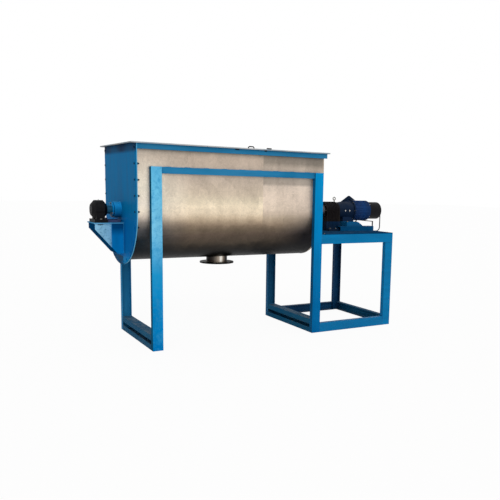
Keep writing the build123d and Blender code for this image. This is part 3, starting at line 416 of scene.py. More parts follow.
def casting(name, colour, worn, grain, metallic=0.0, rough=(0.42, 0.62), dust=0.3):
    """Painted or bare casting: fine sand grain, rubbed spots and settled dust."""
    material, tree, shader, where, facing = start_material(name, metallic, gloss=0.12)
    sand = noise(tree, where, grain, 4.0, 0.7)
    clouds = noise(tree, where, 11.0, 3.0)
    body = mix_colour(tree, spread(tree, clouds, 0.45, 0.75, 0.0, 0.55), colour, worn)
    dusty = use(tree, WORKSHOP_DUST, Where=where, Normal=facing, Colour=body,
                Dust=ink(118, 116, 110), Amount=dust)
    finish_material(tree, shader, dusty["Colour"], spread(tree, sand, 0.3, 0.7, *rough), sand, 0.0006, 0.35)
    return material


BLUE = ink(2, 118, 176)
ACROSS = (9.0, 9.0, 1.3)        # strokes that run up and down
ALONG = (1.3, 9.0, 14.0)        # strokes that run along the shaft
DEEP = (9.0, 1.3, 14.0)         # strokes that run front to back

# Colours that run along an axis: metres, then red, green and blue. The neck's are metres from its middle.
# The trough's courses: painted reflection of a dark floor darkens the sheet down to its belly, and painted
# shade darkens it under the rim; each course has its own tone.
TROUGH_STOPS = [
    (1.02, 8, 8, 8), (1.07, 12, 11, 10), (1.13, 22, 19, 16), (1.19, 50, 44, 38), (1.25, 80, 70, 60),
    (1.35, 98, 84, 73), (1.41, 114, 100, 84), (1.46, 140, 122, 103), (1.51, 178, 158, 134),
    (1.56, 210, 190, 163), (1.61, 227, 209, 183), (1.70, 231, 215, 189), (1.76, 216, 202, 178),
    (1.85, 203, 187, 167), (2.00, 192, 176, 160), (2.28, 186, 169, 153), (2.32, 168, 156, 142),
    (2.40, 150, 140, 128)]
RIGHT_SHEET_STOPS = [
    (1.02, 6, 6, 8), (1.13, 10, 10, 13), (1.25, 24, 23, 28), (1.33, 38, 37, 40),
    (1.38, 62, 57, 58), (1.46, 104, 95, 88), (1.54, 142, 129, 116), (1.60, 182, 165, 150),
    (1.66, 204, 187, 171), (1.76, 218, 200, 184), (1.87, 216, 199, 183), (1.955, 212, 196, 181),
    (1.985, 164, 153, 142), (2.06, 160, 150, 139), (2.10, 182, 168, 154), (2.19, 182, 168, 154),
    (2.25, 140, 131, 120), (2.40, 124, 116, 107)]
LEFT_END_STOPS = [
    (1.02, 6, 12, 16), (1.16, 16, 25, 31), (1.30, 44, 52, 58), (1.42, 84, 83, 84),
    (1.51, 142, 134, 126), (1.57, 202, 188, 174), (1.63, 232, 219, 200), (1.72, 236, 225, 209),
    (1.90, 230, 221, 203), (2.25, 204, 190, 174), (2.40, 160, 150, 140)]
# The near leg by height: painted reflection, paler up its upper part.
NEAR_LEG_SHEEN_STOPS = [
    (0.0, 0, 112, 178), (0.5, 0, 133, 202), (0.9, 30, 150, 208), (1.2, 100, 182, 224),
    (1.46, 124, 200, 234), (1.9, 110, 198, 236), (2.145, 104, 192, 234)]
# The outlet's neck across X: a painted highlight with dark sides.
NECK_HIGHLIGHT_STOPS = [
    (-0.14, 12, 12, 13), (-0.10, 60, 54, 50), (-0.06, 120, 110, 100), (-0.025, 178, 164, 150),
    (-0.006, 255, 250, 240), (0.012, 255, 248, 236), (0.03, 160, 146, 132), (0.07, 46, 42, 38),
    (0.11, 12, 12, 13)]
SPOUT_FLANGE_STOPS = [
    (0.93, 22, 22, 23), (0.9525, 28, 27, 26), (0.9535, 255, 255, 255), (1.10, 255, 255, 255)]
# The end plate's blue by height, with a painted shade band at the top, under the cover's overhang.
PLATE_SHADED_STOPS = [
    (0.97, 0, 112, 166), (1.06, 0, 128, 192), (1.09, 0, 104, 172), (1.16, 0, 88, 156), (1.40, 0, 90, 160),
    (1.56, 0, 98, 160), (1.66, 0, 102, 154), (2.29, 6, 106, 160), (2.325, 8, 50, 84),
    (2.40, 8, 38, 66)]
# The shelf's gusset along X: painted sunlight outboard, painted shade near the plate.
BRACKET_SUNLIT_STOPS = [
    (-2.16, 142, 198, 228), (-2.04, 134, 190, 224), (-2.025, 4, 118, 188), (-1.97, 4, 114, 182),
    (-1.90, 4, 118, 188)]

# Every finish by its short name, and below it what wears it
finishes = {
    # Painted reflection paler up the near leg, and painted shade on its faces that look left.
    "near_leg": enamel("near_leg_enamel", BLUE, ink(16, 150, 206), 0.2, ACROSS, gloss=0.0, stops=NEAR_LEG_SHEEN_STOPS,
                       shades=[(TO_LEFT, ink(20, 70, 97))], scuff=ink(50, 144, 198)),
    # Painted light: the leg pales towards the top, and painted shade on its faces that look left.
    "legs": enamel("leg_enamel", BLUE, ink(6, 128, 188), 0.3, ACROSS, gloss=0.02,
                   shades=[(TO_LEFT, ink(6, 70, 110))], stops=[
        (0.0, 0, 92, 150), (0.9, 0, 110, 170), (1.4, 0, 128, 192), (2.15, 0, 146, 210)]),
    "rear_left_leg": enamel("rear_left_leg_enamel", ink(28, 118, 168), ink(44, 130, 178), 0.5, ACROSS),
    # Painted shade: the far leg wears a darker copy of the blue.
    "far_legs": enamel("far_leg_shaded_enamel", ink(20, 82, 122), ink(30, 98, 142), 0.5, ACROSS),
    "rails": enamel("rail_enamel", BLUE, ink(50, 128, 176), 0.4, ALONG, axis=0, stops=[
        (X0 + 0.6, 30, 118, 164), (X0 + 1.2, 44, 128, 174), (X0 + 2.0, 16, 110, 156)]),
    "rims": enamel("rim_enamel", ink(26, 112, 158), ink(50, 124, 164), 0.5, ALONG),
    "table": enamel("table_enamel", ink(0, 112, 166), ink(10, 122, 178), 0.4, ALONG),
    # Painted shade: the table's sills darken towards the back.
    "table_sills": enamel("table_sill_enamel", BLUE, ink(20, 92, 138), 0.4, ALONG, 0.3, axis=1, stops=[
        (-0.68, 0, 112, 166), (-0.5, 0, 110, 164), (0.4, 8, 52, 88), (0.68, 8, 52, 88)]),
    "sills": enamel("sill_enamel", ink(12, 76, 112), ink(32, 90, 118), 0.5, DEEP, 0.3, gloss=0.01),
    # Painted shade: the far table rail and leg wear a darker copy of the blue.
    "far_table": enamel("far_table_shaded_enamel", ink(11, 56, 94), ink(20, 72, 112), 0.5, ALONG, 0.2),
    "end_plates": end_plate_enamel(),
    # Painted light: the covers pale on the faces that look to the front and to the left.
    "covers": enamel("cover_enamel", ink(26, 96, 138), ink(62, 116, 146), 0.6, ALONG, 0.35, shades=[
        (TO_FRONT, ink(186, 184, 182)), (TO_LEFT, ink(150, 148, 146))]),
    "bracket": shelf_enamel(),
    "bolts": bolt_enamel(),
    "pedestal": enamel("pedestal_enamel", ink(10, 60, 96), ink(30, 86, 124), 0.5, ACROSS, 0.2),
    # Painted light: the stuffing boxes are dark at the bottom and paler towards the top.
    "seals": enamel("seal_enamel", BLUE, ink(20, 130, 190), 0.4, DEEP, 0.05, stops=[
        (1.53, 0, 52, 92), (1.58, 0, 88, 142), (1.64, 0, 112, 172), (1.69, 10, 138, 204),
        (1.73, 20, 140, 200)]),
    # Painted light: the tray pales on the faces that look left.
    "tray": enamel("tray_enamel", ink(44, 52, 78), ink(90, 96, 140), 0.6, DEEP, 0.1, shades=[
        (TO_LEFT, ink(118, 138, 200))]),
    "flange": enamel("flange_enamel", ink(66, 156, 204), ink(130, 196, 226), 0.7, ACROSS, 0.05),
    "welds": enamel("weld_enamel", ink(6, 104, 158), ink(58, 136, 182), 0.8, ALONG, 0.2),
    "deck": enamel("deck_enamel", ink(4, 54, 92), ink(10, 72, 112), 0.5, ALONG, 0.08, gloss=0.0),
    "adapter": enamel("adapter_enamel", BLUE, ink(24, 46, 84), 0.4, ALONG, 0.08, stops=[
        (1.40, 0, 94, 142), (1.469, 0, 98, 150), (1.476, 8, 32, 58), (1.60, 10, 28, 50),
        (1.85, 12, 28, 48)]),
    "gear": enamel("gear_enamel", BLUE, ink(52, 44, 34), 0.35, ALONG, 0.05, gloss=0.03, stops=[
        (1.33, 0, 32, 60), (1.468, 2, 42, 76), (1.480, 22, 20, 23), (1.90, 24, 22, 25)]),
    "drive": enamel("drive_enamel", BLUE, ink(24, 62, 116), 0.4, ALONG, 0.1, axis=0, stops=[
        (X0 + 3.30, 16, 42, 82), (X0 + 3.45, 18, 50, 96), (X0 + 3.57, 18, 60, 114),
        (X0 + 3.64, 14, 48, 92)]),
    "base": enamel("drive_base_enamel", ink(0, 68, 112), ink(4, 86, 134), 0.5, ALONG, 0.1, gloss=0.03),
    "trough": trough_courses(),
    "spout": spout_sheet(),
    "sheet": sheet_metal("plain_sheet", ink(190, 172, 150), (30.0, 30.0, 3.0), 0.12),
    "agitator": sheet_metal("agitator_steel", ink(176, 172, 166), (40.0, 4.0, 4.0), 0.08),
    "bright": sheet_metal("bright_steel", ink(188, 186, 182), (60.0, 9.0, 9.0), 0.06),
    "seam": sheet_metal("seam_steel", ink(150, 138, 122), (60.0, 60.0, 60.0), 0.2, 0.8),
    "shaft": sheet_metal("shaft_steel", BLUE, (60.0, 9.0, 9.0), 0.08, 0.0, [
        (-1.92, 14, 76, 104), (-1.885, 14, 76, 104), (-1.880, 168, 164, 158),
        (-1.80, 176, 172, 166)], axis=0),
    "zinc": sheet_metal("zinc_plate", ink(120, 118, 112), (70.0, 70.0, 70.0), 0.16),
    "dark_bolt": sheet_metal("weathered_bolt", ink(18, 22, 28), (70.0, 70.0, 70.0), 0.16, 0.5),
    "bolt_paint": casting("bolt_paint", ink(8, 22, 40), ink(30, 50, 72), 200.0, 0.0, (0.5, 0.7), 0.05),
    "black": casting("black_casting", ink(8, 8, 11), ink(20, 20, 24), 160.0, 0.0, (0.5, 0.7), 0.05),
    "cowl": casting("cowl_enamel", ink(9, 9, 13), ink(18, 18, 22), 300.0, 0.0, (0.42, 0.6), 0.03),
    "iron": casting("machined_iron", ink(92, 92, 94), ink(60, 60, 62), 220.0, 0.7),
    "rubber": casting("seal_rubber", ink(30, 30, 31), ink(52, 52, 52), 400.0, 0.0, (0.7, 0.9), 0.3),
    "packing": casting("greased_packing", ink(70, 66, 56), ink(34, 32, 28), 420.0, 0.0, (0.45, 0.8), 0.1),
    "grip": casting("black_grip", ink(24, 24, 25), ink(46, 46, 48), 260.0, 0.0, (0.4, 0.6), 0.3),
    "cable": casting("cable_sheath", ink(70, 72, 76), ink(96, 98, 102), 340.0, 0.0, (0.45, 0.6), 0.2),
    "fan": casting("fan_plastic", ink(34, 34, 36), ink(50, 50, 52), 300.0, 0.0, (0.5, 0.7), 0.4),
}

DRESSED = {
    "near_leg": "leg_front_left",
    "legs": "leg_front_right",
    "rear_left_leg": "leg_rear_left",
    "far_legs": "leg_rear_right",
    "sills": "end_sill_left end_sill_right table_end_beams",
    "rails": "side_rail_front side_rail_rear hinge_brackets hinge_straps",
    "flange": "trough_flange",
    "rims": "rim_front rim_rear",
    "table": "table_rail_front table_leg_front",
    "table_sills": "table_sills",
    "far_table": "table_rail_rear table_leg_rear",
    "end_plates": "end_plate_left",
    "covers": "fixed_cover hinged_lid",
    "bracket": "bearing_bracket",
    "pedestal": "bearing_pedestal",
    "seals": "stuffing_boxes gland_followers",
    "tray": "drip_tray",
    "deck": "drive_deck",
    "base": "drive_base",
    "adapter": "motor_adapter",
    "drive": "motor_frame terminal_box",
    "gear": "gearbox_housing",
    "bolts": "end_bolts",
    "trough": "trough_shell",
    "spout": "outlet_spout",
    "sheet": "cover_bridge end_plate_right",
    "shaft": "agitator_shaft",
    "agitator": "outer_ribbons inner_ribbons ribbon_arms",
    "bright": "bearing_rings gearbox_shaft motor_rotor",
    "zinc": "gland_studs hold_down_bolts lifting_eye",
    "black": "tail_support bearing_block_left bearing_block_right",
    "cowl": "fan_cowl",
    "iron": "shaft_coupling",
    "rubber": "end_gasket cover_gasket lid_gasket",
    "packing": "packing_rings",
    "grip": "lid_handle",
    "cable": "motor_lead",
    "fan": "cooling_fan",
}
for finish, wearers in DRESSED.items():
    for wearer in wearers.split():
        slots = nodes[wearer].data.materials
        slots.clear()
        slots.append(finishes[finish])


# Rules for what repeats

KINDS = {"number": "NodeSocketFloat", "count": "NodeSocketInt", "vector": "NodeSocketVector"}


def rule(name, inputs):
    """An empty geometry rule with named inputs, a material input and one geometry output."""
    tree = bpy.data.node_groups.new(name, "GeometryNodeTree")
    for label, kind in inputs:
        tree.interface.new_socket(name=label, in_out="INPUT", socket_type=KINDS[kind])
    tree.interface.new_socket(name="Finish", in_out="INPUT", socket_type="NodeSocketMaterial")
    tree.interface.new_socket(name="Geometry", in_out="OUTPUT", socket_type="NodeSocketGeometry")
    return tree, tree.nodes.new("NodeGroupInput"), tree.nodes.new("NodeGroupOutput")


def add(tree, kind, **values):
    """A node; a value that is a socket is linked, any other is set. Underscores stand for spaces."""
    node = tree.nodes.new(kind)
    for label, value in values.items():
        feed(tree, value, node.inputs[label.replace("_", " ")])
    return node


def close_rule(tree, have, give, geometry, smooth=False):
    real = add(tree, "GeometryNodeRealizeInstances", Geometry=geometry).outputs[0]
    if smooth:
        real = add(tree, "GeometryNodeSetShadeSmooth", Geometry=real).outputs[0]
    finish = add(tree, "GeometryNodeSetMaterial", Geometry=real, Material=have.outputs["Finish"])
    link(tree, finish.outputs[0], give.inputs[0])
    return tree


def hex_head(tree, have):
    """A washer, a six-sided head and its chamfered crown, standing on z = 0."""
    radius, tall = have.outputs["Head"], have.outputs["Rise"]
    washer = add(tree, "GeometryNodeMeshCylinder", Vertices=20, Radius=times(tree, radius, 1.38),
                 Depth=times(tree, tall, 0.28))
    body = add(tree, "GeometryNodeMeshCylinder", Vertices=6, Radius=radius, Depth=times(tree, tall, 0.62))
    crown = add(tree, "GeometryNodeMeshCone", Vertices=6, Radius_Top=times(tree, radius, 0.84),
                Radius_Bottom=radius, Depth=times(tree, tall, 0.1))
    join = tree.nodes.new("GeometryNodeJoinGeometry")
    for piece, level in ((crown, 0.9), (body, 0.59), (washer, 0.14)):
        lift = add(tree, "ShaderNodeCombineXYZ", Z=times(tree, tall, level))
        move = add(tree, "GeometryNodeTransform", Geometry=piece.outputs[0], Translation=lift.outputs[0])
        link(tree, move.outputs[0], join.inputs[0])
    return join.outputs[0]


def place_heads(tree, have, points):
    face = tree.nodes.new("FunctionNodeAlignRotationToVector")
    face.axis = "Z"
    link(tree, have.outputs["Facing"], face.inputs["Vector"])
    spots = add(tree, "GeometryNodeInstanceOnPoints", Points=points, Instance=hex_head(tree, have),
                Rotation=face.outputs[0])
    return spots.outputs[0]


def make_bolt_row():
    """Hexagon heads with washers along a straight line."""
    tree, have, give = rule("bolt_row", [("Count", "count"), ("Start", "vector"), ("Step", "vector"),
                                         ("Facing", "vector"), ("Head", "number"), ("Rise", "number")])
    row = add(tree, "GeometryNodeMeshLine", Count=have.outputs["Count"], Start_Location=have.outputs["Start"],
              Offset=have.outputs["Step"])
    return close_rule(tree, have, give, place_heads(tree, have, row.outputs[0]))


def make_bolt_ring():
    """Hexagon heads with washers around a circle that is turned to face along the shaft."""
    tree, have, give = rule("bolt_ring", [("Count", "count"), ("Centre", "vector"), ("Turn", "vector"),
                                          ("Circle", "number"), ("Facing", "vector"), ("Head", "number"),
                                          ("Rise", "number")])
    ring = add(tree, "GeometryNodeMeshCircle", Vertices=have.outputs["Count"], Radius=have.outputs["Circle"])
    turned = add(tree, "GeometryNodeTransform", Geometry=ring.outputs[0], Translation=have.outputs["Centre"],
                 Rotation=have.outputs["Turn"])
    return close_rule(tree, have, give, place_heads(tree, have, turned.outputs[0]))


def lay_bead(tree, have, curve):
    """Sweeps a round bead along a curve; it swells, thins and ripples as a hand-laid weld does."""
    step, ripple_length = 0.006, 0.018
    even = tree.nodes.new("GeometryNodeResampleCurve")
    even.mode = "LENGTH"
    link(tree, curve, even.inputs["Curve"])
    even.inputs["Length"].default_value = step
    along = tree.nodes.new("GeometryNodeSplineParameter").outputs["Length"]
    ripple = math_node(tree, "SINE", times(tree, along, 2 * math.pi / ripple_length))
    swell = tree.nodes.new("ShaderNodeTexNoise")
    swell.inputs["Scale"].default_value = 21.0
    swell.inputs["Detail"].default_value = 2.0
    size = plus(tree, times(tree, ripple, 0.13), times(tree, swell.outputs["Fac"], 0.7))
    size = plus(tree, size, 0.62)
    profile = add(tree, "GeometryNodeCurvePrimitiveCircle", Resolution=7, Radius=have.outputs["Bead"])
    sweep = add(tree, "GeometryNodeCurveToMesh", Curve=even.outputs[0], Profile_Curve=profile.outputs[0],
                Scale=size, Fill_Caps=True)
    return sweep.outputs[0]


def make_weld_run():
    """A straight fillet weld between two points."""
    tree, have, give = rule("weld_run", [("Start", "vector"), ("End", "vector"), ("Bead", "number")])
    run = add(tree, "GeometryNodeCurvePrimitiveLine", Start=have.outputs["Start"], End=have.outputs["End"])
    return close_rule(tree, have, give, lay_bead(tree, have, run.outputs[0]), True)


def make_weld_ring():
    """A weld around a round piece."""
    tree, have, give = rule("weld_ring", [("Centre", "vector"), ("Turn", "vector"), ("Circle", "number"),
                                          ("Bead", "number")])
    ring = add(tree, "GeometryNodeCurvePrimitiveCircle", Resolution=96, Radius=have.outputs["Circle"])
    turned = add(tree, "GeometryNodeTransform", Geometry=ring.outputs[0], Translation=have.outputs["Centre"],
                 Rotation=have.outputs["Turn"])
    return close_rule(tree, have, give, lay_bead(tree, have, turned.outputs[0]), True)


def make_u_seam():
    """A seam that runs down one side of the trough, round its belly and up the other side."""
    tree, have, give = rule("u_seam", [("Station", "number"), ("Radius", "number"), ("Straight", "number"),
                                       ("Centre Height", "number"), ("Steps", "count"), ("Bead", "number")])
    radius, straight = have.outputs["Radius"], have.outputs["Straight"]
    line = add(tree, "GeometryNodeMeshLine", Count=have.outputs["Steps"])
    half_turn = times(tree, radius, math.pi)
    length = plus(tree, half_turn, times(tree, straight, 2.0))
    index = tree.nodes.new("GeometryNodeInputIndex").outputs[0]
    share = math_node(tree, "DIVIDE", index, minus(tree, have.outputs["Steps"], 1.0))
    into_arc = minus(tree, times(tree, share, length), straight)
    in_arc = math_node(tree, "MINIMUM", most(tree, into_arc, 0.0), half_turn)
    angle = math_node(tree, "DIVIDE", in_arc, radius)
    going_down = most(tree, times(tree, into_arc, -1.0), 0.0)
    going_up = most(tree, minus(tree, into_arc, half_turn), 0.0)
    side = times(tree, times(tree, math_node(tree, "COSINE", angle), radius), -1.0)
    drop = times(tree, math_node(tree, "SINE", angle), radius)
    level = minus(tree, plus(tree, have.outputs["Centre Height"], plus(tree, going_down, going_up)), drop)
    spot = add(tree, "ShaderNodeCombineXYZ", X=have.outputs["Station"], Y=side, Z=level)
    laid = add(tree, "GeometryNodeSetPosition", Geometry=line.outputs[0], Position=spot.outputs[0])
    path = add(tree, "GeometryNodeMeshToCurve", Mesh=laid.outputs[0])
    return close_rule(tree, have, give, lay_bead(tree, have, path.outputs[0]), True)


BOLT_ROW = make_bolt_row()
BOLT_RING = make_bolt_ring()
WELD_RUN = make_weld_run()
WELD_RING = make_weld_ring()
U_SEAM = make_u_seam()


def run_rule(tree, finish, values):
    """Runs a rule once and returns its result as a plain mesh."""
    holder = bpy.data.objects.new("rule_holder", bpy.data.meshes.new("rule_holder"))
    bpy.context.collection.objects.link(holder)
    rows = holder.modifiers.new("rule", "NODES")
    rows.node_group = tree
    labels = {item.name: item.identifier for item in tree.interface.items_tree if item.in_out == "INPUT"}
    for label, value in values.items():
        rows[labels[label]] = value
    rows[labels["Finish"]] = finish
    bpy.context.view_layer.update()
    mesh = bpy.data.meshes.new_from_object(holder.evaluated_get(bpy.context.evaluated_depsgraph_get()))
    holder.modifiers.remove(rows)
    bpy.data.objects.remove(holder)
    return mesh


def keep_piece(name, shape, finish, body="machine_frame"):
    """Turns a bmesh into an object that wears a finish and rides on a body."""
    mesh = bpy.data.meshes.new(name)
    shape.to_mesh(mesh)
    shape.free()
    mesh.materials.append(finishes[finish])
    piece = bpy.data.objects.new(name, mesh)
    bpy.context.collection.objects.link(piece)
    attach(piece, body)


def fit(name, finish, runs, body="machine_frame"):
    """Joins the results of several rule runs into one piece."""
    joined = bmesh.new()
    for tree, values in runs:
        joined.from_mesh(run_rule(tree, finishes[finish], values))
    keep_piece(name, joined, finish, body)


def bolts(count, start, step, facing, head, rise):
    return (BOLT_ROW, {"Count": count, "Start": start, "Step": step, "Facing": facing, "Head": head,
                       "Rise": rise})


def bolt(place, facing, head, rise):
    return bolts(1, place, (0, 0, 0), facing, head, rise)


def bolt_ring(count, centre, turn, circle, facing, head, rise):
    return (BOLT_RING, {"Count": count, "Centre": centre, "Turn": turn, "Circle": circle, "Facing": facing,
                        "Head": head, "Rise": rise})


def weld(start, end, bead=0.0035):
    return (WELD_RUN, {"Start": start, "End": end, "Bead": bead})


def weld_ring(centre, turn, circle, bead=0.0035):
    return (WELD_RING, {"Centre": centre, "Turn": turn, "Circle": circle, "Bead": bead})


# Small fittings and welds

def low(name):
    return Vector(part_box(name)[0])


def high(name):
    return Vector(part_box(name)[1])


def make_neck_seam():
    """A weld that follows the saddle where the round neck meets the trough's belly."""
    tree, have, give = rule("neck_seam", [("Centre", "vector"), ("Neck", "number"), ("Belly", "number"),
                                          ("Axis Height", "number"), ("Bead", "number")])
    ring = add(tree, "GeometryNodeMeshCircle", Vertices=120, Radius=have.outputs["Neck"])
    placed = add(tree, "GeometryNodeTransform", Geometry=ring.outputs[0], Translation=have.outputs["Centre"])
    split = add(tree, "ShaderNodeSeparateXYZ", Vector=tree.nodes.new("GeometryNodeInputPosition").outputs[0])
    square = times(tree, split.outputs[1], split.outputs[1])
    belly = times(tree, have.outputs["Belly"], have.outputs["Belly"])
    rise = math_node(tree, "SQRT", minus(tree, belly, square))
    level = minus(tree, have.outputs["Axis Height"], rise)
    spot = add(tree, "ShaderNodeCombineXYZ", X=split.outputs[0], Y=split.outputs[1], Z=level)
    laid = add(tree, "GeometryNodeSetPosition", Geometry=placed.outputs[0], Position=spot.outputs[0])
    path = add(tree, "GeometryNodeMeshToCurve", Mesh=laid.outputs[0])
    return close_rule(tree, have, give, lay_bead(tree, have, path.outputs[0]), True)


NECK_SEAM = make_neck_seam()
ACROSS_SHAFT = (0.0, math.radians(90), 0.0)
FLAT = (0.0, 0.0, 0.0)
UP, FRONT, BACK, LEFT, RIGHT = (0, 0, 1), (0, -1, 0), (0, 1, 0), (-1, 0, 0), (1, 0, 0)


def u_seam(station, radius, bead):
    return (U_SEAM, {"Station": station, "Radius": radius, "Straight": 0.705, "Centre Height": SHAFT_Z,
                     "Steps": 400, "Bead": bead})


def frame_welds():
    """Fillets between the legs, rails, sills, shelf and table."""
    rail_face, leg_toes, table_web = 0.651, 0.6115, 0.6755
    stitch, stitch_pitch, stitches = 0.07, 0.235, 9
    runs = []
    rail_low, rail_high = low("side_rail_front"), high("side_rail_front")
    for side in (-1, 1):
        y = side * rail_face
        for x in (rail_low.x, low("leg_front_right").x):
            runs.append(weld((x, y, rail_low.z), (x, y, rail_high.z)))
        y, z = side * leg_toes, rail_high.z + 0.001
        for step in range(stitches):
            x = rail_low.x + 0.06 + step * stitch_pitch
            runs.append(weld((x, y, z), (x + stitch, y, z)))
    for leg, sill in (("leg_front_left", "end_sill_left"), ("leg_front_right", "end_sill_right")):
        left, right, top = low(leg).x, high(leg).x, high(sill).z
        for x in (left + 0.004, right - 0.004):
            for side in (-1, 1):
                runs.append(weld((x, side * leg_toes, 0.0), (x, side * leg_toes, top)))
        for side in (-1, 1):
            runs.append(weld((left, side * leg_toes, top), (right, side * leg_toes, top)))
    rail_low, rail_high = low("table_rail_front"), high("table_rail_front")
    left, right = low("table_leg_front").x, high("table_leg_front").x
    for side in (-1, 1):
        y = side * table_web
        runs.append(weld((rail_low.x, y, rail_low.z), (rail_low.x, y, rail_high.z)))
        runs.append(weld((left, y, rail_low.z), (right, y, rail_low.z)))
        for x in (rail_low.x, left):
            runs.append(weld((x, y, 0.004), (x, y, high("table_sills").z)))
    plate, shelf_low = low("end_plate_left").x, low("bearing_bracket").z
    shelf_under, shelf_over = 1.468, 1.482
    for side in (-1, 1):
        runs.append(weld((plate, side * 0.159, shelf_low), (plate, side * 0.159, shelf_under), 0.004))
    runs.append(weld((plate, -0.17, shelf_over), (plate, 0.17, shelf_over), 0.004))
    return runs


def base_welds():
    """Stitch welds between the drive base's rails and the deck."""
    base = low("drive_base")
    rail_edge, stitch, stitch_pitch, stitches = 0.2255, 0.07, 0.122, 5
    runs = []
    for side in (-1, 1):
        for step in range(stitches):
            x, y = base.x + 0.02 + step * stitch_pitch, side * rail_edge
            runs.append(weld((x, y, base.z), (x + stitch, y, base.z)))
    return runs


def sheet_seams():
    """The joints of the trough's courses, the right end's weld and the neck's saddle weld."""
    saddle = {"Centre": (MIDDLE, 0, 0), "Neck": NECK, "Belly": 0.6102, "Axis Height": SHAFT_Z, "Bead": 0.0036}
    return [u_seam(X0 + 1.615, 0.6100, 0.0012), u_seam(X0 + 1.908, 0.6099, 0.0011),
            u_seam(high("end_plate_right").x - 0.002, 0.6104, 0.0024), (NECK_SEAM, saddle)]


def frame_bolts():
    """Bolts of the gear unit's foot and flanges, of the drive base and of the deck."""
    gear = low("gearbox_housing").x
    disc = X0 + 3.366       # flange disc between adapter and motor
    foot_top, base_top, deck_top = 1.371, 1.470, 1.341
    runs = [bolt_ring(8, (disc + 0.02, 0, SHAFT_Z), ACROSS_SHAFT, 0.1600, RIGHT, 0.0065, 0.007),
            bolt_ring(8, (disc, 0, SHAFT_Z), ACROSS_SHAFT, 0.1610, LEFT, 0.0062, 0.007),
            bolt_ring(8, (gear + 0.006, 0, SHAFT_Z), ACROSS_SHAFT, 0.097, LEFT, 0.008, 0.008)]
    for side in (-1, 1):
        runs.append(bolts(2, (gear + 0.038, side * 0.160, foot_top), (0.1, 0, 0), UP, 0.0125, 0.013))
        runs.append(bolts(2, (X0 + 3.222, side * 0.188, base_top), (0.145, 0, 0), UP, 0.011, 0.012))
        runs.append(bolts(2, (X0 + 2.54, side * 0.63, deck_top), (1.08, 0, 0), UP, 0.009, 0.009))
    return runs


def lock_nuts():
    """A second nut and the bare end of each flange bolt, on the trough's side of the flange."""
    line = (high("trough_flange").y + TROUGH_OUT) / 2
    face = high("end_bolts").x
    pitch, upper, lower, nut_tall = 0.180, 4, 11, 0.010
    spots = [(side * line, SHAFT_Z + pitch * step) for side in (-1, 1) for step in range(upper)]
    for step in range(1, lower):
        turn = math.radians(180 / lower * step)
        spots.append((line * math.cos(turn), SHAFT_Z - line * math.sin(turn)))
    runs = []
    for y, z in spots:
        runs.append(bolt((face, y, z), RIGHT, 0.0095, nut_tall))
        runs.append(bolt((face + nut_tall, y, z), RIGHT, 0.006, 0.009))
    return runs


def drive_screws():
    """Plugs in the adapter's sides, and screws in the cowl and in the terminal box's lid."""
    runs = []
    for side, facing in ((-1, FRONT), (1, BACK)):
        runs.append(bolt((X0 + 3.224, side * 0.1275, SHAFT_Z), facing, 0.0085, 0.010))
        runs.append(bolt((X0 + 3.290, side * 0.139, SHAFT_Z), facing, 0.0085, 0.010))
    cowl_edge, cowl_radius = low("fan_cowl").x + 0.014, 0.1265
    for quarter in range(4):
        turn = math.radians(45 + 90 * quarter)
        facing = (0, math.cos(turn), math.sin(turn))
        spot = (cowl_edge, cowl_radius * facing[1], SHAFT_Z + cowl_radius * facing[2])
        runs.append(bolt(spot, facing, 0.0055, 0.005))
    for z in (SHAFT_Z - 0.043, SHAFT_Z + 0.043):
        runs.append(bolts(2, (X0 + 3.529, 0.2252, z), (0.109, 0, 0), BACK, 0.0045, 0.004))
    return runs


def gear_plugs():
    """Black plugs on the gear unit's front face, between its ribs."""
    gear, face = low("gearbox_housing").x, -0.1205
    return [bolt((gear + along, face, z), FRONT, 0.006, 0.011)
            for along, z in ((0.0725, 1.50), (0.0725, 1.58), (0.1210, 1.62))]


def rim_studs():
    """Two small groups of dark studs on the front rim."""
    face, level = low("rim_front").y, 2.388
    return [bolts(3, (X0 + 1.212, face, level), (0.019, 0, 0), FRONT, 0.007, 0.006),
            bolts(2, (X0 + 1.612, face, level), (0.015, 0, 0), FRONT, 0.007, 0.006)]


def lid_screws():
    """Two screws in each hinge strap."""
    edge, strap_top = low("hinge_straps").y + 0.020, 2.4161
    return [bolts(2, (x, edge, strap_top), (0, 0.045, 0), UP, 0.0055, 0.005)
            for x in (X0 + 1.05, X0 + 1.701, X0 + 2.348)]


def arm_welds():
    """A ring on both sides of every arm along the shaft, placed by the arms' own mesh."""
    stations = sorted({round(v.co.x, 3) for v in nodes["ribbon_arms"].data.vertices})
    return [weld_ring((x, 0, SHAFT_Z), ACROSS_SHAFT, 0.0505, 0.004) for x in stations]


def grease_nipples():
    """Turned nipples on top of both bearings and of the motor."""
    outline = [(0, 0), (0.006, 0), (0.006, 0.003), (0.003, 0.004), (0.003, 0.0055), (0.0045, 0.0065),
               (0.0045, 0.008), (0.002, 0.0095), (0, 0.0095)]
    places = [((low(block).x + high(block).x) / 2, 0, SHAFT_Z + 0.1118)
              for block in ("bearing_block_left", "bearing_block_right")]
    return lathe(outline, places + [(X0 + 3.655, -0.03, SHAFT_Z + 0.1445)])


def lathe(outline, places, sides=20):
    """A turned shape, repeated at several places; the outline is (radius, height) from foot to top."""
    shape = bmesh.new()
    for x, y, z in places:
        rings = []
        for radius, rise in outline:
            turns = [2 * math.pi * step / sides for step in range(sides if radius else 1)]
            ring = [(x + radius * math.cos(turn), y + radius * math.sin(turn), z + rise) for turn in turns]
            rings.append([shape.verts.new(place) for place in ring])
        for inner, outer in zip(rings, rings[1:]):
            for step in range(sides):
                corners = [inner[step % len(inner)], inner[(step + 1) % len(inner)],
                           outer[(step + 1) % len(outer)], outer[step % len(outer)]]
                corners = list(dict.fromkeys(corners))
                if len(corners) > 2:
                    shape.faces.new(corners)
    bmesh.ops.recalc_face_normals(shape, faces=shape.faces)
    return shape


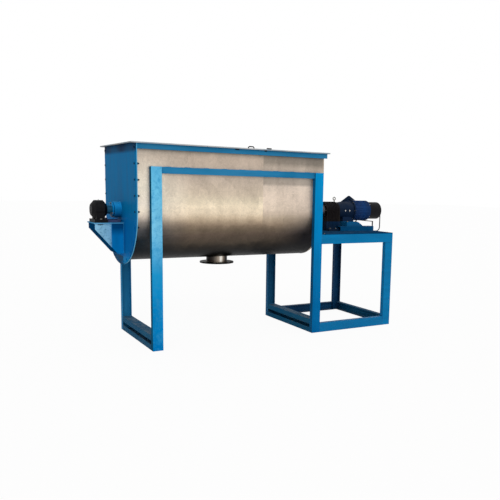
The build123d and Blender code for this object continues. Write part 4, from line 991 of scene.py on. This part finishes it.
def foot_plates():
    """A plate let into the foot of every channel leg, its inner corners clipped for the channel's roots."""
    wall, thick, clip, gap = 0.008, 0.006, 0.009, 0.001
    shape = bmesh.new()
    for leg in ("leg_front_left", "leg_front_right", "leg_rear_left", "leg_rear_right",
                "table_leg_front", "table_leg_rear"):
        left, right = low(leg).x + wall, high(leg).x - wall
        if low(leg).y < 0:
            web, toe, sign = low(leg).y + wall, high(leg).y - gap, 1
        else:
            web, toe, sign = high(leg).y - wall, low(leg).y + gap, -1
        outline = [(left, toe), (left, web + sign * clip), (left + clip, web), (right - clip, web),
                   (right, web + sign * clip), (right, toe)]
        under = [shape.verts.new((x, y, 0.0)) for x, y in outline]
        over = [shape.verts.new((x, y, thick)) for x, y in outline]
        shape.faces.new(under)
        shape.faces.new(over)
        for step in range(len(outline)):
            after = (step + 1) % len(outline)
            shape.faces.new((under[step], under[after], over[after], over[step]))
    bmesh.ops.recalc_face_normals(shape, faces=shape.faces)
    bmesh.ops.bevel(shape, geom=shape.edges[:], offset=0.0008, segments=1, affect="EDGES")
    return shape


seal_weld = weld_ring((low("end_plate_left").x, 0, SHAFT_Z), ACROSS_SHAFT, 0.0955)
neck_weld = weld_ring((MIDDLE, 0, low("outlet_spout").z + 0.0165), FLAT, NECK)

fit("frame_welds", "welds", frame_welds())
fit("drive_base_welds", "base", base_welds())
fit("seal_and_shelf_welds", "seals", [seal_weld])
fit("trough_seams", "trough", sheet_seams())
fit("outlet_weld", "seam", [neck_weld])
fit("frame_bolts", "zinc", frame_bolts())
fit("flange_lock_nuts", "bolt_paint", lock_nuts())
fit("drive_screws", "bright", drive_screws())
fit("gear_unit_plugs", "black", gear_plugs())
keep_piece("grease_nipples", grease_nipples(), "bright")
keep_piece("foot_plates", foot_plates(), "sills")
fit("rim_studs", "bolt_paint", rim_studs())
fit("lid_screws", "dark_bolt", lid_screws(), "lid")
fit("shaft_welds", "agitator", arm_welds(), "agitator")


# Light, ground and camera

def background_rays(tree):
    """One for camera, glossy and transmission rays, which see the white background."""
    path = tree.nodes.new("ShaderNodeLightPath")
    either = most(tree, path.outputs["Is Camera Ray"], path.outputs["Is Glossy Ray"])
    return most(tree, either, path.outputs["Is Transmission Ray"])


def white_to_eye(tree, shader_out, strength):
    """Mixes a plain white glow in for the rays that see the background."""
    mix = tree.nodes.new("ShaderNodeMixShader")
    glow = tree.nodes.new("ShaderNodeEmission")
    glow.inputs["Strength"].default_value = 1.0
    link(tree, times(tree, background_rays(tree), strength), mix.inputs[0])
    link(tree, shader_out, mix.inputs[1])
    link(tree, glow.outputs[0], mix.inputs[2])
    return mix.outputs[0]


def make_floor():
    mesh = bpy.data.meshes.new("studio_floor")
    reach, level = 60, -0.002
    corners = [(-reach, -reach, level), (reach, -reach, level), (reach, reach, level), (-reach, reach, level)]
    mesh.from_pydata(corners, [], [(0, 1, 2, 3)])
    floor = bpy.data.objects.new("studio_floor", mesh)
    bpy.context.collection.objects.link(floor)
    material = bpy.data.materials.new("studio_floor")
    material.use_nodes = True
    tree = material.node_tree
    shader = tree.nodes["Principled BSDF"]
    shader.inputs["Base Color"].default_value = (0.9, 0.9, 0.9, 1)
    shader.inputs["Roughness"].default_value = 0.9
    shader.inputs["Specular IOR Level"].default_value = 0.1
    link(tree, white_to_eye(tree, shader.outputs[0], 0.94), tree.nodes["Material Output"].inputs[0])
    mesh.materials.append(material)


def make_world():
    world = bpy.data.worlds.new("studio")
    world.use_nodes = True
    tree = world.node_tree
    soft = tree.nodes["Background"]
    soft.inputs["Color"].default_value = (1.0, 0.99, 0.97, 1)
    soft.inputs["Strength"].default_value = 0.62
    seen = tree.nodes.new("ShaderNodeBackground")
    seen.inputs["Color"].default_value = (1, 1, 1, 1)
    seen.inputs["Strength"].default_value = 1.0
    mix = tree.nodes.new("ShaderNodeMixShader")
    link(tree, background_rays(tree), mix.inputs[0])
    link(tree, soft.outputs[0], mix.inputs[1])
    link(tree, seen.outputs[0], mix.inputs[2])
    link(tree, mix.outputs[0], tree.nodes["World Output"].inputs[0])
    bpy.context.scene.world = world


def make_sun(name, towards, strength, angle):
    lamp = bpy.data.lights.new(name, "SUN")
    lamp.energy = strength
    lamp.angle = math.radians(angle)
    sun = bpy.data.objects.new(name, lamp)
    sun.rotation_euler = Vector(towards).to_track_quat("Z", "Y").to_euler()
    bpy.context.collection.objects.link(sun)


def make_camera():
    """The photograph's viewpoint, solved from the frame's corners."""
    photo, focal, centre_u, centre_v = 500, 633.99, 316.83, 278.58     # pixels
    yaw, pitch, roll = (math.radians(v) for v in (32.441, 8.152, -1.478))
    ahead = Vector((math.sin(yaw) * math.cos(pitch), math.cos(yaw) * math.cos(pitch), -math.sin(pitch)))
    right = Vector((math.cos(yaw), -math.sin(yaw), 0))
    down = ahead.cross(right)
    across = math.cos(roll) * right + math.sin(roll) * down
    below = -math.sin(roll) * right + math.cos(roll) * down
    data = bpy.data.cameras.new("camera")
    data.sensor_width = 36
    data.lens = focal * data.sensor_width / photo
    data.shift_x = (photo / 2 - centre_u) / photo
    data.shift_y = (centre_v - photo / 2) / photo
    data.clip_end = 200
    camera = bpy.data.objects.new("camera", data)
    turn = Matrix((across, -below, -ahead)).transposed().to_4x4()
    camera.matrix_world = Matrix.Translation((-3.9913, -7.8007, 1.9527)) @ turn
    bpy.context.collection.objects.link(camera)
    bpy.context.scene.camera = camera


make_camera()
make_world()
make_floor()
make_sun("window_light", (-0.25, -0.80, 0.55), 1.15, 50)
bpy.context.scene.view_settings.view_transform = "Standard"
